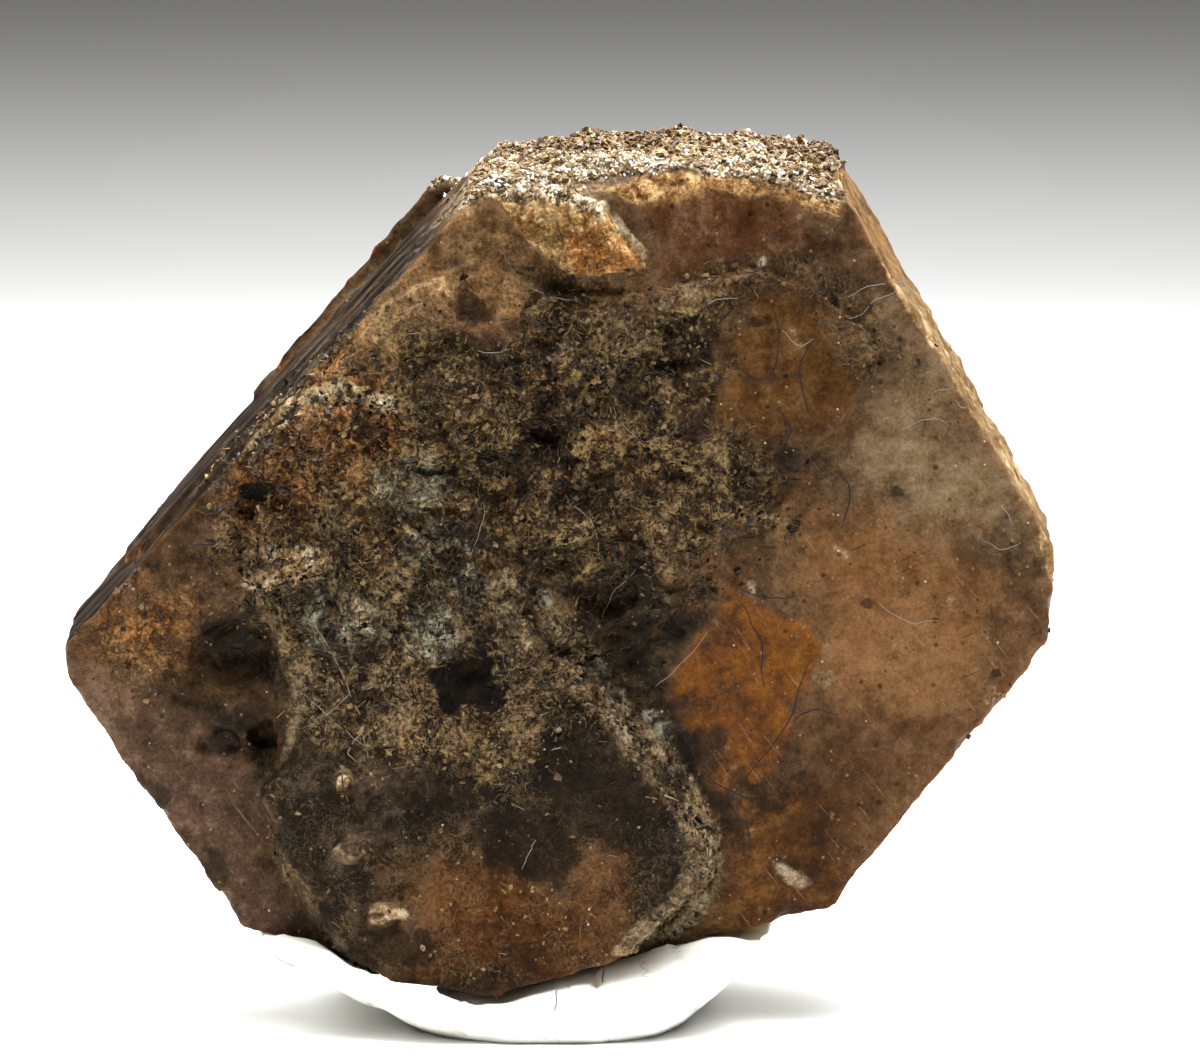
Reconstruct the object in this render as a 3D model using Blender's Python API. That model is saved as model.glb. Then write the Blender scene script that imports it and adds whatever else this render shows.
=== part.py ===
"""An axinite crystal, brown flat blades grown together, standing on a pressed lump of white putty.

Lengths at the top are millimetres. +X is to the right and -Y towards the viewer, who looks at the broad face.
"""
import math
import random

import bmesh
import bpy
from mathutils import Matrix, Vector, noise

MM = 0.001

# Crystal faces. Each is (turn, lean, reach, depth): turn is the way it faces in the front view, in degrees from +X
# towards +Z, lean tips it to the viewer, and it passes reach from the heart, in the plane y = depth.
FRONT = -6.0
BACK = 6.0
HEART = Vector((0.0, 0.0, 19.0))
MAIN_FACES = (
    (90.0, 3.5, 16.9, FRONT),
    (137.8, 2.0, 14.0, FRONT),
    (178.0, 0.0, 21.0, FRONT),
    (214.7, -8.0, 19.6, FRONT),
    (252.0, -4.0, 18.2, FRONT),
    (270.0, -3.0, 17.1, FRONT),
    (284.4, -5.0, 16.3, FRONT),
    (320.9, -8.0, 17.6, FRONT),
    (356.0, 0.0, 20.8, FRONT),
    (30.7, 2.0, 18.8, FRONT),
    (0.0, 90.0, 0.0, FRONT),
    (0.0, -90.0, 0.0, BACK),
    (215.0, -50.0, 12.0, BACK),
    (352.0, -62.0, 12.3, BACK),
    (275.0, -60.0, 11.8, BACK),
    (33.0, -40.0, 17.4, BACK),
    (130.0, -35.0, 13.4, BACK),
)

# The second blade, which overlaps the first at the lower left and leans out of it towards its foot.
BLADE_HEART = Vector((-3.2, 0.0, 11.0))
BLADE_FRONT = -7.8
BLADE_ROOT = -2.0
BLADE_FACES = (
    (45.4, 24.0, 5.5, BLADE_FRONT),
    (35.8, 24.0, 6.1, BLADE_FRONT),
    (3.0, 20.0, 9.4, BLADE_FRONT),
    (315.0, 12.0, 9.5, BLADE_FRONT),
    (286.8, 0.0, 8.8, BLADE_FRONT),
    (264.0, 0.0, 9.0, BLADE_FRONT),
    (236.6, 5.0, 9.5, BLADE_FRONT),
    (209.0, 25.0, 8.8, BLADE_FRONT),
    (180.0, 30.0, 8.2, BLADE_FRONT),
    (127.4, 20.0, 12.2, BLADE_FRONT),
    (90.0, 20.0, 10.4, BLADE_FRONT),
    (130.0, 82.0, 0.0, BLADE_FRONT),
    (0.0, -90.0, 0.0, BLADE_ROOT),
)

# A step on the second blade's left, and the growth layers of the front, as (x, z) outlines.
TOE_RISE = 1.3
TOE_OUTLINE = ((-12.9, 10.2), (-11.2, 12.9), (-7.0, 12.6), (-6.0, 3.2), (-9.2, 3.7), (-11.1, 6.8))
LAYER_RISE = 0.35
LAYER_OUTLINE = (
    (-13.8, 24.6), (-11.1, 27.4), (-7.7, 31.3), (-3.9, 33.4), (-0.1, 31.9), (3.3, 31.7), (8.4, 32.8),
    (11.3, 31.7), (13.7, 29.6), (13.5, 28.3), (12.2, 26.1), (9.6, 23.6), (8.4, 21.9), (5.4, 18.4),
    (3.3, 16.3), (-5.6, 14.0), (-13.6, 19.5),
)
ROUGH_RISE = 0.65
ROUGH_OUTLINE = (
    (-13.0, 24.2), (-10.6, 27.4), (-7.5, 30.6), (-3.9, 32.7), (-0.1, 31.2), (3.3, 31.2), (5.8, 31.9),
    (5.4, 29.9), (6.0, 27.0), (7.5, 24.9), (9.0, 23.2), (8.0, 21.4), (5.8, 20.0), (3.3, 17.8),
    (1.4, 16.6), (-4.0, 15.0), (-12.6, 20.2),
)
RUST_RISE = 1.3
RUST_OUTLINE = (
    (-13.6, 24.4), (-12.7, 25.3), (-11.1, 26.9), (-8.5, 27.1), (-8.9, 25.3), (-10.4, 23.3), (-12.4, 23.0),
)
FLAKE_RISE = 0.9
FLAKE_OUTLINE = (
    (-3.0, 35.8), (-0.1, 35.7), (1.8, 35.2), (3.5, 32.6), (0.3, 32.2), (-1.1, 33.4), (-2.4, 34.9),
)
CORNER_FLAKE_RISE = 0.5
CORNER_FLAKE_OUTLINE = ((9.5, 35.8), (11.9, 35.9), (12.2, 35.0), (11.5, 33.9), (10.5, 34.5), (9.8, 35.1))
DRUSE_RISE = 0.2
DRUSE_DOME = 0.55
DRUSE_OUTLINE = ((-3.3, -5.7), (12.0, -5.6), (12.3, 4.6), (8.6, 5.4), (2.5, 5.6), (-3.2, 5.0))

# Roughness of those layers: the spacing of the cleavage lines that part them, and how far the points move.
CLEAVAGE_TURNS = (47.0, 117.0)
ROUGH_SPACING = 1.45
ROUGH_RELIEF = 0.42
DRUSE_SPACING = 1.25
DRUSE_RELIEF = 0.38
FLAKE_SPACING = 0.9
FLAKE_RELIEF = 0.25

# Small crystals and grains, sunk by half into the surface: number and size from smallest to largest.
DRUSE_CRYSTALS = 64
DRUSE_CRYSTAL_SIZE = (0.55, 1.15)
ROUGH_GRAINS = 84
ROUGH_GRAIN_SIZE = (0.6, 1.5)
ROUGH_GRAIN_SINK = 0.3
GRAIN_SHEAR = 0.35

# Lumps that stand alone on the front: x, y, z, half length, half height.
LUMPS = (
    (-12.3, -6.3, 19.7, 1.35, 0.85),
    (-10.7, -6.7, 20.6, 1.00, 0.70),
    (-9.2, -7.9, 11.0, 0.55, 0.50),
    (-7.6, -8.4, 5.4, 1.05, 0.60),
    (2.6, -8.3, 5.3, 0.60, 0.50),
    (-8.9, -7.9, 8.2, 1.30, 0.75),
    (4.9, -6.5, 18.6, 0.50, 0.45),
)
LUMP_THICKNESS = 0.75

# Pits: x, y, z of the centre, then half width, depth and half height.
PITS = (
    (-13.9, -6.0, 16.0, 2.0, 1.3, 1.6),
    (-4.1, -8.0, 15.6, 1.4, 1.2, 1.2),
    (-12.9, -6.2, 22.4, 1.2, 0.8, 0.6),
    (1.9, -6.7, 18.8, 1.3, 1.0, 0.9),
    (-0.5, -6.8, 25.7, 1.0, 0.7, 0.8),
    (4.4, -6.8, 30.2, 0.7, 0.6, 0.5),
    (5.0, -6.8, 28.6, 0.7, 0.6, 0.5),
    (-4.6, -6.8, 29.4, 0.9, 0.5, 0.8),
    (-14.5, -6.0, 12.2, 1.1, 0.7, 0.7),
    (-12.6, -6.0, 12.6, 0.8, 0.7, 0.6),
    (8.0, 6.2, 24.0, 1.6, 0.9, 1.1),
    (-7.0, 6.6, 20.0, 1.2, 0.9, 1.4),
)

# Nicks along the crystal's sharp edges: x, y, z and size.
NICKS = (
    (21.0, -6.0, 18.2, 0.8), (20.9, -6.0, 16.9, 0.6), (17.3, -5.9, 12.2, 0.7), (13.4, -6.0, 33.6, 0.8),
    (14.3, 4.6, 31.6, 1.0), (16.2, 4.2, 28.2, 0.9), (18.6, 3.6, 24.0, 0.8), (-17.0, -6.1, 9.1, 0.7),
    (-14.4, -5.9, 5.5, 0.9), (9.6, -5.9, 4.4, 0.7), (-20.6, -6.0, 14.2, 0.6), (-12.0, 5.8, 27.2, 0.9),
    (-5.6, -6.0, 34.4, 0.5), (13.6, 0.5, 5.6, 1.1), (19.9, 1.9, 15.4, 0.9),
)

# Long low ribs on the upper left side face, which run along its edge: offset across the face, half width, rise.
RIB_CENTRE = Vector((-11.9, 0.0, 26.85))
RIB_TURN = 137.4
RIB_HALF_LENGTH = 11.2
RIBS = ((-4.6, 0.55, 0.25), (-2.6, 0.9, 0.35), (-0.3, 0.5, 0.2), (1.8, 1.1, 0.3), (4.1, 0.7, 0.2))

# Terraces on the back, each a smaller copy of one outline: scale and rise.
TERRACE_OUTLINE = (
    (9.0, 15.4), (-4.6, 15.2), (-13.0, 5.6), (-11.5, -0.5), (-6.0, -7.8), (3.0, -9.6), (10.6, -5.0), (12.4, 4.6),
)
TERRACE_CENTRE = (-1.0, 20.4)
TERRACES = ((0.98, 0.3), (0.74, 0.65), (0.46, 0.95))

# Putty, as sections across X: x, height of the middle, half height, depth of the middle, half depth.
PUTTY_SECTIONS = (
    (-13.5, 4.10, 0.20, -4.4, 1.8),
    (-12.2, 3.75, 0.75, -4.0, 4.2),
    (-10.0, 3.05, 1.35, -2.6, 6.2),
    (-7.5, 2.35, 1.95, -1.8, 7.6),
    (-5.0, 1.40, 2.45, -1.5, 8.3),
    (-2.0, 0.85, 2.80, -1.4, 8.6),
    (1.0, 0.95, 2.90, -1.4, 8.6),
    (4.0, 1.65, 2.75, -1.5, 8.1),
    (6.6, 2.75, 1.95, -1.9, 6.8),
    (8.2, 3.55, 1.00, -2.5, 4.8),
    (9.1, 4.00, 0.25, -2.9, 2.2),
)
PUTTY_POINTS = 14
PUTTY_DENT = 0.3
PUTTY_GAP = 0.35

SEED = 50
BLOCK = 60.0


def cleared_collection(name):
    """A new empty collection in the scene."""
    collection = bpy.data.collections.new(name)
    bpy.context.scene.collection.children.link(collection)
    return collection


def add_object(name, bm, collection, placing=None):
    """Turn a bmesh in millimetres into an object in metres."""
    if placing:
        bm.transform(placing)
    bm.transform(Matrix.Scale(MM, 4))
    bmesh.ops.recalc_face_normals(bm, faces=bm.faces)
    mesh = bpy.data.meshes.new(name)
    bm.to_mesh(mesh)
    bm.free()
    added = bpy.data.objects.new(name, mesh)
    collection.objects.link(added)
    return added


def hide_as_cutter(tool):
    tool.hide_render = True
    tool.display_type = "WIRE"


def crystal_body(faces, heart, margin=0.0):
    """A block cut to a convex crystal by its faces, each moved outwards by margin."""
    bm = bmesh.new()
    bmesh.ops.create_cube(bm, size=BLOCK, matrix=Matrix.Translation(heart))
    for turn, lean, reach, depth in faces:
        turn = math.radians(turn)
        lean = math.radians(lean)
        across = Vector((math.cos(turn), 0.0, math.sin(turn)))
        outward = across * math.cos(lean) + Vector((0.0, -math.sin(lean), 0.0))
        point = heart + across * reach + Vector((0.0, depth, 0.0)) + outward * margin
        geometry = bm.verts[:] + bm.edges[:] + bm.faces[:]
        cut = bmesh.ops.bisect_plane(bm, geom=geometry, plane_co=point, plane_no=outward, clear_outer=True)
        rim = [item for item in cut["geom_cut"] if isinstance(item, bmesh.types.BMEdge)]
        if rim:
            bmesh.ops.contextual_create(bm, geom=rim)
    return bm


def facing(centre, outward, along):
    """Places a shape drawn in the XY plane on a face: its X runs along, its Z points outward."""
    outward = Vector(outward).normalized()
    along = Vector(along).normalized()
    turn = Matrix((along, outward.cross(along), outward)).transposed().to_4x4()
    return Matrix.Translation(centre) @ turn


def on_front(depth=FRONT):
    return facing((0.0, depth, 0.0), (0.0, -1.0, 0.0), (1.0, 0.0, 0.0))


def tablet(outline, rise, shrink=0.04, sunk=1.2):
    """A growth layer: an outline raised from below its face to rise above it, drawn in a little at the top."""
    middle = sum((Vector(point) for point in outline), Vector((0.0, 0.0))) / len(outline)
    bm = bmesh.new()
    base = bm.faces.new([bm.verts.new((x, y, -sunk)) for x, y in outline])
    raised = bmesh.ops.extrude_face_region(bm, geom=[base])
    for item in raised["geom"]:
        if isinstance(item, bmesh.types.BMVert):
            drawn_in = middle + (item.co.xy - middle) * (1.0 - shrink)
            item.co = (drawn_in.x, drawn_in.y, rise)
    bmesh.ops.recalc_face_normals(bm, faces=bm.faces)
    return bm


def top_faces(bm):
    level = max(vert.co.z for vert in bm.verts)
    return [face for face in bm.faces if all(abs(vert.co.z - level) < 1e-5 for vert in face.verts)]


def part_along_cleavage(bm, turns, spacing):
    """Cut a layer's top along parallel lines in each direction."""
    reach = int(BLOCK / spacing)
    middle = sum((vert.co for vert in bm.verts), Vector()) / len(bm.verts)
    for turn in turns:
        across = Vector((math.cos(math.radians(turn)), math.sin(math.radians(turn)), 0.0))
        for step in range(-reach, reach + 1):
            faces = top_faces(bm)
            edges = {edge for face in faces for edge in face.edges}
            verts = {vert for face in faces for vert in face.verts}
            geometry = faces + list(edges) + list(verts)
            bmesh.ops.bisect_plane(bm, geom=geometry, plane_co=middle + across * step * spacing, plane_no=across)


def arch(x, outline, height):
    """A low arch across an outline's width, highest in its middle."""
    left = min(point[0] for point in outline)
    right = max(point[0] for point in outline)
    return height * max(0.0, 1.0 - ((2.0 * x - left - right) / (right - left)) ** 2)


def roughen(bm, spacing, relief, chance, turns=CLEAVAGE_TURNS):
    """Break a layer's top into small tilted facets, leaving its rim where it is."""
    part_along_cleavage(bm, turns, spacing)
    faces = top_faces(bm)
    inner = [vert for vert in bm.verts if all(face in faces for face in vert.link_faces)]
    bmesh.ops.triangulate(bm, faces=faces)
    for vert in inner:
        drift = spacing * 0.22
        swell = noise.noise(vert.co * 0.45)
        vert.co.x += chance.uniform(-drift, drift)
        vert.co.y += chance.uniform(-drift, drift)
        vert.co.z += relief * (0.9 * swell + chance.uniform(-0.6, 0.6))


def inside(point, outline):
    """Whether an (x, y) point is inside an outline, by counting the sides to its right."""
    crossings = 0
    for (x1, y1), (x2, y2) in zip(outline, outline[1:] + outline[:1]):
        if (y1 > point[1]) != (y2 > point[1]) and point[0] < x1 + (x2 - x1) * (point[1] - y1) / (y2 - y1):
            crossings += 1
    return crossings % 2 == 1


def scattered(outline, count, chance):
    """Seeded points inside an outline."""
    xs = [x for x, _ in outline]
    ys = [y for _, y in outline]
    points = []
    while len(points) < count:
        point = (chance.uniform(min(xs), max(xs)), chance.uniform(min(ys), max(ys)))
        if inside(point, outline):
            points.append(point)
    return points


def small_crystal(bm, centre, size, chance):
    """A lopsided block with six flat faces, as axinite grows, tipped at random."""
    length = chance.uniform(*size)
    scale = Matrix.Diagonal((length, length * chance.uniform(0.45, 0.8), length * chance.uniform(0.6, 1.1), 1.0))
    lean = Matrix.Identity(4)
    lean[0][1] = chance.uniform(-GRAIN_SHEAR, GRAIN_SHEAR)
    lean[0][2] = chance.uniform(-GRAIN_SHEAR, GRAIN_SHEAR)
    turn = Matrix.Rotation(chance.uniform(0.0, math.tau), 4, (chance.random() - 0.5, chance.random() - 0.5, 1.0))
    bmesh.ops.create_cube(bm, size=1.0, matrix=Matrix.Translation(centre) @ turn @ scale @ lean)


def crust(outline, height, count, size, chance, swell=0.0):
    """Small crystals scattered over an outline, standing half out of its surface."""
    bm = bmesh.new()
    for x, y in scattered(outline, count, chance):
        level = height + arch(x, outline, swell) + chance.uniform(-0.15, 0.2)
        small_crystal(bm, Vector((x, y, level)), size, chance)
    return bm


def lumps(chance):
    """Grains that stand out alone on the front."""
    bm = bmesh.new()
    for x, y, z, half_length, half_height in LUMPS:
        turn = Matrix.Rotation(chance.uniform(-0.5, 0.5), 4, "Y")
        scale = Matrix.Diagonal((half_length, LUMP_THICKNESS, half_height, 1.0))
        made = bmesh.ops.create_icosphere(bm, subdivisions=1, radius=1.0,
                                          matrix=Matrix.Translation((x, y, z)) @ turn @ scale)
        for vert in made["verts"]:
            vert.co += Vector([chance.uniform(-0.12, 0.12) for _ in range(3)])
    return bm


def pits(chance):
    """Rounded hollows with broken facets."""
    bm = bmesh.new()
    for x, y, z, half_width, depth, half_height in PITS:
        scale = Matrix.Diagonal((half_width, depth, half_height, 1.0))
        made = bmesh.ops.create_icosphere(bm, subdivisions=2, radius=1.0,
                                          matrix=Matrix.Translation((x, y, z)) @ scale)
        for vert in made["verts"]:
            vert.co += Vector([chance.uniform(-0.13, 0.13) for _ in range(3)])
    return bm


def nicks(chance):
    """Broken bits out of the edges."""
    bm = bmesh.new()
    for x, y, z, size in NICKS:
        small_crystal(bm, Vector((x, y, z)), (size, size * 1.6), chance)
    return bm


def ribs():
    """Growth ribs along the upper left side face."""
    turn = math.radians(RIB_TURN)
    outward = (math.cos(turn), 0.0, math.sin(turn))
    along = (math.sin(turn), 0.0, -math.cos(turn))
    placing = facing(RIB_CENTRE, outward, along)
    made = []
    for offset, half_width, rise in RIBS:
        end = RIB_HALF_LENGTH - abs(offset) * 0.3
        outline = ((-end, offset), (-end * 0.8, offset - half_width), (end * 0.85, offset - half_width),
                   (end, offset), (end * 0.8, offset + half_width), (-end * 0.85, offset + half_width))
        made.append((tablet(outline, rise, shrink=0.03, sunk=0.6), placing))
    return made


def terraces():
    """Stepped growth layers on the back."""
    placing = facing((TERRACE_CENTRE[0], BACK, TERRACE_CENTRE[1]), (0.0, 1.0, 0.0), (-1.0, 0.0, 0.0))
    made = []
    for scale, rise in TERRACES:
        outline = [(-x * scale, z * scale) for x, z in TERRACE_OUTLINE]
        made.append((tablet(outline, rise, shrink=0.03), placing))
    return made


def growths(collection, chance):
    """Everything that has grown out of the main blade."""
    front = on_front()
    top = facing((0.0, 0.0, HEART.z + MAIN_FACES[0][2] + 0.3), (0.0, -0.05, 1.0), (1.0, 0.0, 0.0))
    add_object("second_blade", crystal_body(BLADE_FACES, BLADE_HEART), collection)
    add_object("toe", tablet(TOE_OUTLINE, TOE_RISE), collection, front)
    add_object("smooth_layer", tablet(LAYER_OUTLINE, LAYER_RISE), collection, front)
    rough = tablet(ROUGH_OUTLINE, ROUGH_RISE)
    roughen(rough, ROUGH_SPACING, ROUGH_RELIEF, chance)
    add_object("rough_layer", rough, collection, front)
    rust = tablet(RUST_OUTLINE, RUST_RISE, shrink=0.12)
    roughen(rust, FLAKE_SPACING, FLAKE_RELIEF, chance)
    add_object("rust_chunk", rust, collection, front)
    flake = tablet(FLAKE_OUTLINE, FLAKE_RISE, shrink=0.1)
    roughen(flake, FLAKE_SPACING, FLAKE_RELIEF, chance, turns=(35.0,))
    add_object("flake", flake, collection, front)
    corner = tablet(CORNER_FLAKE_OUTLINE, CORNER_FLAKE_RISE, shrink=0.15)
    add_object("corner_flake", corner, collection, front)
    druse = tablet(DRUSE_OUTLINE, DRUSE_RISE)
    roughen(druse, DRUSE_SPACING, DRUSE_RELIEF, chance, turns=(20.0, 100.0))
    for vert in druse.verts:
        vert.co.z += arch(vert.co.x, DRUSE_OUTLINE, DRUSE_DOME)
    add_object("druse_bed", druse, collection, top)
    sparkle = crust(DRUSE_OUTLINE, DRUSE_RISE, DRUSE_CRYSTALS, DRUSE_CRYSTAL_SIZE, chance, DRUSE_DOME)
    add_object("druse_crystals", sparkle, collection, top)
    level = ROUGH_RISE - ROUGH_GRAIN_SINK
    grains = crust(ROUGH_OUTLINE, level, ROUGH_GRAINS, ROUGH_GRAIN_SIZE, chance)
    add_object("rough_grains", grains, collection, front)
    add_object("lumps", lumps(chance), collection)
    for number, (layer, placing) in enumerate(ribs() + terraces()):
        add_object(f"layer_{number}", layer, collection, placing)


def boolean(target, operation, tools):
    """A live EXACT boolean with a collection of tools, which may cross each other."""
    modifier = target.modifiers.new(operation.lower(), "BOOLEAN")
    modifier.operation = operation
    modifier.operand_type = "COLLECTION"
    modifier.collection = tools
    modifier.solver = "EXACT"
    modifier.use_self = True


def body_around(start):
    """All the points joined to one point by edges."""
    found = {start}
    waiting = [start]
    while waiting:
        vert = waiting.pop()
        for edge in vert.link_edges:
            other = edge.other_vert(vert)
            if other not in found:
                found.add(other)
                waiting.append(other)
    return found


def settle(target):
    """Take the finished booleans into the mesh and drop crumbs that the pits cut loose."""
    evaluated = target.evaluated_get(bpy.context.evaluated_depsgraph_get())
    bm = bmesh.new()
    bm.from_mesh(evaluated.to_mesh())
    evaluated.to_mesh_clear()
    target.modifiers.clear()
    bodies = []
    waiting = set(bm.verts)
    while waiting:
        body = body_around(next(iter(waiting)))
        bodies.append(body)
        waiting -= body
    bodies.sort(key=len)
    crumbs = [vert for body in bodies[:-1] for vert in body]
    bmesh.ops.delete(bm, geom=crumbs, context="VERTS")
    bmesh.ops.recalc_face_normals(bm, faces=bm.faces)
    bm.to_mesh(target.data)
    bm.free()


def make_crystal(parts, cutters):
    chance = random.Random(SEED)
    crystal = add_object("crystal", crystal_body(MAIN_FACES, HEART), parts)
    grown = bpy.data.collections.new("grown_on")
    broken = bpy.data.collections.new("broken_out")
    cutters.children.link(grown)
    cutters.children.link(broken)
    growths(grown, chance)
    add_object("pits", pits(chance), broken)
    add_object("nicks", nicks(chance), broken)
    boolean(crystal, "UNION", grown)
    boolean(crystal, "DIFFERENCE", broken)
    settle(crystal)
    return crystal


def putty_lump():
    """The putty before the crystal is pressed in: oval sections joined along X, dented as by a thumb."""
    bm = bmesh.new()
    rings = []
    for x, height, half_height, depth, half_depth in PUTTY_SECTIONS:
        ring = []
        for number in range(PUTTY_POINTS):
            angle = math.tau * number / PUTTY_POINTS
            place = (x, depth + half_depth * math.cos(angle), height + half_height * math.sin(angle))
            ring.append(bm.verts.new(place))
        rings.append(ring)
    for ring, following in zip(rings, rings[1:]):
        for number in range(PUTTY_POINTS):
            after = (number + 1) % PUTTY_POINTS
            bm.faces.new((ring[number], ring[after], following[after], following[number]))
    bm.faces.new(rings[0])
    bm.faces.new(rings[-1])
    bmesh.ops.subdivide_edges(bm, edges=bm.edges[:], cuts=1, use_grid_fill=True, smooth=0.6)
    for vert in bm.verts:
        vert.co += vert.normal * PUTTY_DENT * noise.noise(vert.co * 0.35)
    floor_cut = bmesh.ops.bisect_plane(bm, geom=bm.verts[:] + bm.edges[:] + bm.faces[:], plane_co=(0.0, 0.0, 0.0),
                                       plane_no=(0.0, 0.0, -1.0), clear_outer=True)
    rim = [item for item in floor_cut["geom_cut"] if isinstance(item, bmesh.types.BMEdge)]
    bmesh.ops.contextual_create(bm, geom=rim)
    return bm


def centre_on_base(parts):
    """Move the parts so that the middle of their box's underside is the origin."""
    corners = [vert.co.copy() for part in parts for vert in part.data.vertices]
    low = Vector([min(corner[axis] for corner in corners) for axis in range(3)])
    high = Vector([max(corner[axis] for corner in corners) for axis in range(3)])
    move = Vector((-(low.x + high.x) / 2.0, -(low.y + high.y) / 2.0, -low.z))
    for part in parts:
        part.data.transform(Matrix.Translation(move))


def make_putty(parts, cutters):
    """The lump, hollowed to the crystal's foot with a small gap."""
    putty = add_object("putty", putty_lump(), parts)
    pressed = bpy.data.collections.new("pressed_in")
    cutters.children.link(pressed)
    add_object("main_room", crystal_body(MAIN_FACES, HEART, PUTTY_GAP), pressed)
    add_object("blade_room", crystal_body(BLADE_FACES, BLADE_HEART, PUTTY_GAP), pressed)
    boolean(putty, "DIFFERENCE", pressed)
    settle(putty)
    return putty


def paint(target, name, colour, roughness):
    material = bpy.data.materials.new(name)
    material.use_nodes = True
    shader = material.node_tree.nodes["Principled BSDF"]
    shader.inputs["Base Color"].default_value = (*colour, 1.0)
    shader.inputs["Roughness"].default_value = roughness
    shader.inputs["Metallic"].default_value = 0.0
    target.data.materials.append(material)


def main():
    for old in list(bpy.data.objects):
        bpy.data.objects.remove(old)
    parts = cleared_collection("axinite_crystal")
    cutters = cleared_collection("cutters")
    crystal = make_crystal(parts, cutters)
    putty = make_putty(parts, cutters)
    centre_on_base((crystal, putty))
    paint(crystal, "brown_axinite", (0.13, 0.075, 0.04), 0.35)
    paint(putty, "white_putty", (0.86, 0.85, 0.80), 0.6)
    for tool in cutters.all_objects:
        hide_as_cutter(tool)


main()
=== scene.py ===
"""The looks of an axinite crystal standing in white putty: fine meshes, materials, light and camera.

Lengths are millimetres in the frame's axes, and become metres where Blender takes them. Outlines of
what shows on the broad face are (x, y) pixels of the 1200 x 1056 photo frame, which fall on the
crystal along the camera's rays.
"""
import math
from typing import NamedTuple

import bmesh
import bpy
import numpy as np
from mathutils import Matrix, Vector


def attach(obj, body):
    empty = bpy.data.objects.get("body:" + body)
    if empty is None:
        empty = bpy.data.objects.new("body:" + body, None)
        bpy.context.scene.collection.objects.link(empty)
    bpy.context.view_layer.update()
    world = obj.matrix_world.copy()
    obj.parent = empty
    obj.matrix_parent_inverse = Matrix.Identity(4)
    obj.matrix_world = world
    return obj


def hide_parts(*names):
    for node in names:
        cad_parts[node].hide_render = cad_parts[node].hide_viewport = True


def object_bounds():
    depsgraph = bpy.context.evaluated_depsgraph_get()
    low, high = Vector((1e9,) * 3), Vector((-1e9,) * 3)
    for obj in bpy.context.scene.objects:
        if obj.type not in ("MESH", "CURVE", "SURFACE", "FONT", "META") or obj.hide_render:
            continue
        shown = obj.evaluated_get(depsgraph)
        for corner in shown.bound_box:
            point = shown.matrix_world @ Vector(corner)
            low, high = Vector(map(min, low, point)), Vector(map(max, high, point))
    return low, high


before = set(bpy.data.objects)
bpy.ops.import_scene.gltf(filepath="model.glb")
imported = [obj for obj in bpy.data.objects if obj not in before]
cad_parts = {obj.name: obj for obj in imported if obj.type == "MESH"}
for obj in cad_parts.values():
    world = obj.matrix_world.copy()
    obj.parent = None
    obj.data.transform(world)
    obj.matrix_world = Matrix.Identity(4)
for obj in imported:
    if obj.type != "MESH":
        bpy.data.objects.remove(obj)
CAD_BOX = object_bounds()

MM = 0.001
SEED = 7

# Camera: a long lens, a little above the crystal, aimed so that the crystal lies where the photo has it.
PHOTO_WIDTH = 1200
PHOTO_HEIGHT = 1056
LENS = 200.0
SENSOR = 36.0
CAMERA_RISE = math.radians(9.0)
CAMERA_DISTANCE = 288.0
AIM = np.array((1.69, 1.36, 20.64))
CAMERA_BACK = np.array((0.0, -math.cos(CAMERA_RISE), math.sin(CAMERA_RISE)))
CAMERA_UP = np.array((0.0, math.sin(CAMERA_RISE), math.cos(CAMERA_RISE)))
CAMERA_PLACE = AIM + CAMERA_DISTANCE * CAMERA_BACK

# Grids that the crystal and the putty are remade on, and the most triangles that the crystal keeps.
SKIN_GRID = 0.155
SKIN_TRIANGLES = 188000
PUTTY_GRID = 0.28

# Half sizes of one of the crust's blocks, as shares of its cell.
BLOCK_SHAPE = (0.75, 0.5, 0.6)


class Grains(NamedTuple):
    """A kind of grain: how many, their lengths, thickness as shares of length, and how upright."""
    count: int
    lengths: tuple
    slim: tuple
    upright: float


CRUST_GRAINS = Grains(8000, (0.05, 0.24), (0.45, 0.95), 1.0)
CRUST_SPLINTERS = Grains(7000, (0.15, 0.7), (0.05, 0.1), 0.5)
DRUSE_CRYSTALS = Grains(15000, (0.06, 0.27), (0.4, 0.95), 1.0)
GRAIN_SHARE = 1.0
# Druse crystals whose tone is above SPARKLE_TONE are painted white as sparkles; the crust's grains get
# none.
SPARKLE_TONE = 0.91
NO_SPARKLE = 1.0


# What is drawn on the broad face

class Zone(NamedTuple):
    """The inside of an outline, with the softness of its edge in pixels."""
    points: tuple
    feather: float
    ragged: float
    strength: float = 1.0

    def cover(self, pixels):
        return smooth_step(-self.feather, self.feather, outline_distance(pixels, self.points))


class Line(NamedTuple):
    """A band along an open line, with its half width in pixels."""
    points: tuple
    width: float
    ragged: float
    strength: float = 1.0

    def cover(self, pixels):
        return 1.0 - smooth_step(self.width * 0.4, self.width, line_distance(pixels, self.points))


class Spots(NamedTuple):
    """Soft round spots: x, y, half width and half height of each."""
    spots: tuple
    ragged: float
    strength: float = 1.0

    def cover(self, pixels):
        total = np.zeros(len(pixels))
        for x, y, half_width, half_height in self.spots:
            reach = np.hypot((pixels[:, 0] - x) / half_width, (pixels[:, 1] - y) / half_height)
            total = np.maximum(total, 1.0 - smooth_step(0.45, 1.15, reach))
        return total


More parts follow.
